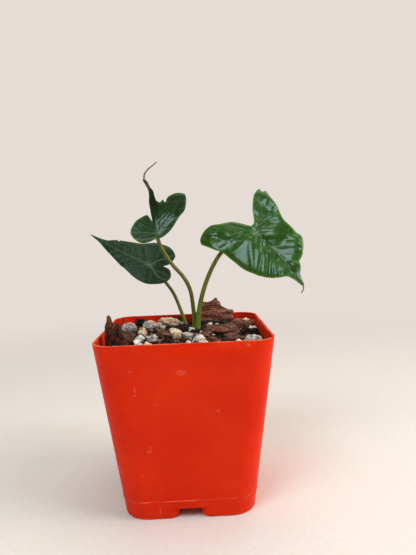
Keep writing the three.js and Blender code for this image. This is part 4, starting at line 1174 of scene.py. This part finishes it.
def worn_copy(name, voxel, relief):
    """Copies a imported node, remeshes it to an even skin and presses the relief into it."""
    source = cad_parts[name].data
    bm = bmesh.new()
    bm.from_mesh(source)
    bmesh.ops.remove_doubles(bm, verts=bm.verts[:], dist=1e-6)
    if relief is stone_relief:
        middle = sum((v.co for v in bm.verts), Vector()) / len(bm.verts)
        for vertex in bm.verts:
            vertex.co = middle + (vertex.co - middle) * STONE_GROWTH
    slot = source.materials[0].name.split(".")[0]
    finish = OTHER_FINISH.get(name, slot)
    piece = piece_from(name + "_worn", bm, [finishes[finish]], [name], drawn=False)
    remesh = piece.modifiers.new("even_skin", "REMESH")
    remesh.mode = "VOXEL"
    remesh.voxel_size = voxel * MM
    soften = piece.modifiers.new("worn_edges", "SMOOTH")
    soften.iterations = 1
    soften.factor = 0.5
    mesh = apply_modifiers(piece)
    points = to_drawing(per_point(mesh, "co"))
    grain = [UPRIGHT] if finish == "upright" else []
    moved = np.array([relief(Vector(point), *grain) for point in points])
    set_points(mesh, to_frame(points + per_point(mesh, "normal") * moved[:, None]))
    mesh.shade_smooth()
    return piece


RELIEFS = {"bark": bark_relief, "stone": stone_relief, "perlite": stone_relief, "charcoal": bark_relief}
CHIP_VOXEL, CORM_VOXEL = 0.3, 0.6  # how fine the even skins are, mm
chips = sorted(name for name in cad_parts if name.split("_")[0] in RELIEFS)
worn = [worn_copy(name, CHIP_VOXEL, RELIEFS[name.split("_")[0]]) for name in chips]
worn_copy("corm_and_roots", CORM_VOXEL, bark_relief)
print(len(worn), "chips,", sum(len(chip.data.polygons) for chip in worn), "faces")

# %% [markdown]
# ## Loose crumbs
#
# Between the chips the mix is broken into crumbs of a few millimetres, of bark, charred bark, perlite and
# pumice. Each crumb is a small ball, squashed and dented, with a few dozen faces. They are drawn with a seed,
# so that every run gives the same crumbs, kept inside the wall and clear of the stalks, and set half sunk
# into the bed. A particle system would be quicker, but its crumbs couldn't each have a shape of their own.

# %% Scattering crumbs
STALK_SPOTS = [(8.2, 11), (6, 15), (0.1, 18.8)]
INNER_CORNER = 11  # radius of the wall's corners inside, mm


def crumb_spot(draw, size):
    """A place in the pot for a crumb of this size, clear of the stalks."""
    reach = TOP_HALF - WALL - CLEARANCE - size / 2 - 1.2
    while True:
        x, y = draw.uniform(-reach, reach), draw.uniform(-reach, reach)
        straight = reach - INNER_CORNER
        corner = math.hypot(max(0, abs(x) - straight), max(0, abs(y) - straight))
        clear = min(math.hypot(x - a, y - b) for a, b in STALK_SPOTS)
        if corner < INNER_CORNER and clear > 2 + size / 2:
            return x, y


def crumb(draw, size, shape, x, y, lifted):
    """One dented crumb, set down on the bed."""
    bm = bmesh.new()
    verts = bmesh.ops.create_icosphere(bm, subdivisions=2, radius=size / 2)["verts"]
    for vertex in verts:
        vertex.co *= 1 + 0.45 * noise.noise(vertex.co * (2.6 / size) + Vector((x, y, 7)))
    bmesh.ops.scale(bm, vec=shape, verts=verts)
    tilt = Vector((draw.uniform(-0.5, 0.5), draw.uniform(-0.5, 0.5), 1)).normalized()
    turn = tilt.to_track_quat("Z", "Y").to_matrix() @ Matrix.Rotation(draw.uniform(0, 6.28), 3, "Z")
    bmesh.ops.rotate(bm, verts=verts, matrix=turn)
    bmesh.ops.translate(bm, verts=verts, vec=(x, y, rough_top(x, y) + size * shape[2] * lifted))
    return bm


def scatter(name, slot, seed, count, sizes, shape, lifted):
    """Many crumbs in one piece. The shape scales them along x, y and z. Bark breaks into flat facets."""
    draw = random.Random(seed)
    bm = bmesh.new()
    for _ in range(count):
        size = draw.uniform(*sizes) * draw.uniform(0.6, 1)
        x, y = crumb_spot(draw, size)
        add_shape(bm, crumb(draw, size, shape, x, y, lifted))
    piece = piece_from(name, bm, [finishes[slot]])
    if "bark" in slot:
        piece.data.shade_flat()
    report(piece)


scatter("crumbs_bark", "bark", 21, 420, (2.0, 5.5), (1.4, 0.8, 0.4), 0.35)
scatter("crumbs_charred", "charred_bark", 22, 760, (1.4, 4.6), (1.2, 0.9, 0.5), 0.35)
scatter("crumbs_perlite", "perlite_white", 23, 40, (0.8, 2.2), (1, 0.9, 0.8), 0.4)
scatter("crumbs_pumice", "pumice_grey", 24, 60, (1.4, 3.4), (1, 0.9, 0.8), 0.4)

# %% [markdown]
# ## Stage, light and camera
#
# A plain pale floor and a pale surround let the object stand by itself. Soft light from large areas shapes
# the waxy leaves: a cool window high at the front left gives the gloss, a larger warm one stands low to the
# right, a small skylight is at the front right, and a wide one hangs overhead and behind. Glossy faces mirror
# a darker room than the one the camera sees. The camera stands where a person would hold it, about 0.3 m in
# front of the pot and looking slightly down, and it is turned a little about its own axis.

# %% The floor
WALL_COLOUR = "#e5dcd6"
FLOOR_SEEN, FLOOR_GONE, FLOOR_RADIUS = 0.16, 0.75, 6.0  # where the paint begins to fade and is gone, metres


def floor_paint():
    """Matt emulsion with a faint roller texture of about 3 mm. Far away it turns into the surround."""
    made, tree = new_material("matt_floor_paint")
    place = node(tree, "TexCoord").outputs["Object"]
    roller = node(tree, "TexNoise", pattern(place, 3, Detail=4.0))
    colour = node(tree, "ValToRGB", {0: roller.outputs[0]}, ramp=[(0.3, "#e2dad2"), (0.7, "#e8e0d9")])
    bump = node(tree, "Bump", {"Height": roller.outputs[0], "Distance": 0.05 * MM, "Strength": 0.4})
    near = node(tree, "BsdfPrincipled",
                {0: colour.outputs[0], "Roughness": 0.75, "Normal": bump.outputs[0]})
    far = node(tree, "Emission", {"Color": linear(WALL_COLOUR)})
    away = node(tree, "VectorMath", {0: place}, operation="LENGTH").outputs["Value"]
    blend = node(tree, "MapRange", {0: away, 1: FLOOR_SEEN, 2: FLOOR_GONE}, **SMOOTH).outputs[0]
    both = node(tree, "MixShader", {0: blend, 1: near.outputs[0], 2: far.outputs[0]})
    node(tree, "OutputMaterial", {"Surface": both.outputs[0]})
    return made


bm = bmesh.new()
bmesh.ops.create_circle(bm, cap_ends=True, segments=96, radius=FLOOR_RADIUS)
floor = object_from("floor", bm)
floor.data.materials.append(floor_paint())

# %% Surround and lights
ROOM_GLOW = 0.38  # how bright the surround is as a light, next to how bright it looks
ROOM_IN_GLOSS = 0.12  # and in glossy faces, which mirror the unlit side of the room
world = bpy.data.worlds.new("pale_room")
bpy.context.scene.world = world
world.use_nodes = True
room = world.node_tree
room.nodes.clear()
ray = node(room, "LightPath").outputs
mirrored = node(room, "Math", {0: ray["Is Glossy Ray"], 1: ROOM_GLOW - ROOM_IN_GLOSS},
                operation="MULTIPLY").outputs[0]
glow = node(room, "Math",
            {0: node(room, "Math", {0: ray["Is Camera Ray"], 1: ROOM_GLOW},
                     operation="MAXIMUM").outputs[0], 1: mirrored}, operation="SUBTRACT").outputs[0]
background = node(room, "Background", {"Color": linear(WALL_COLOUR), "Strength": glow})
node(room, "OutputWorld", {"Surface": background.outputs[0]})


MIDDLE = Vector((0.0, 0.0, 0.13))


def area_light(name, azimuth, elevation, distance, size, power, colour):
    """A soft light that looks at the middle. Azimuth 0 is in front of it and 90 to its right, in degrees."""
    a, e = math.radians(azimuth), math.radians(elevation)
    lamp = bpy.data.lights.new(name, "AREA")
    lamp.shape = "RECTANGLE"
    lamp.size, lamp.size_y = size
    lamp.energy = power
    lamp.color = linear(colour)[:3]
    made = bpy.data.objects.new(name, lamp)
    way = Vector((math.sin(a) * math.cos(e), -math.cos(a) * math.cos(e), math.sin(e)))
    made.location = MIDDLE + distance * way
    made.rotation_euler = (-way).to_track_quat("-Z", "Y").to_euler()
    bpy.context.scene.collection.objects.link(made)


area_light("window", -33, 47, 1.1, (0.5, 0.42), 7.0, "#d2edf2")
area_light("side_window", 78, 26, 1.1, (0.55, 0.8), 9.0, "#fff8ee")
area_light("skylight", 50, 50, 1.2, (0.12, 0.12), 1.5, "#d5eaff")
area_light("ceiling", 160, 75, 1.3, (1.0, 1.0), 7.0, "#fffaf2")

# %% The camera
EYE = (7.2139, -296.9186, 157.1364)  # mm from the pot's axis and feet
YAW, PITCH, ROLL = 0.0282, 0.0801, -0.0358  # radians: to the right, downwards, and about the line of sight
FOCAL = 476.83  # in pixels of an image 555 high
IMAGE_HEIGHT, SENSOR = 555, 36.0

ahead = Vector((math.sin(YAW) * math.cos(PITCH), math.cos(YAW) * math.cos(PITCH), -math.sin(PITCH)))
level = ahead.cross(Vector((0, 0, 1))).normalized()
above = level.cross(ahead)
right = level * math.cos(ROLL) + above * math.sin(ROLL)
upward = above * math.cos(ROLL) - level * math.sin(ROLL)
lens = bpy.data.cameras.new("camera")
lens.sensor_fit = "VERTICAL"
lens.sensor_height = SENSOR
lens.lens = FOCAL / IMAGE_HEIGHT * SENSOR
lens.clip_start = 0.01
camera = bpy.data.objects.new("camera", lens)
stand = to_frame(EYE)
rows = [[right[k], upward[k], -ahead[k], stand[k]] for k in range(3)]
camera.matrix_world = Matrix(rows + [[0, 0, 0, 1]])
bpy.context.scene.collection.objects.link(camera)
bpy.context.scene.camera = camera
bpy.context.scene.view_settings.view_transform = "Standard"
print("lens", round(lens.lens, 2), "mm")
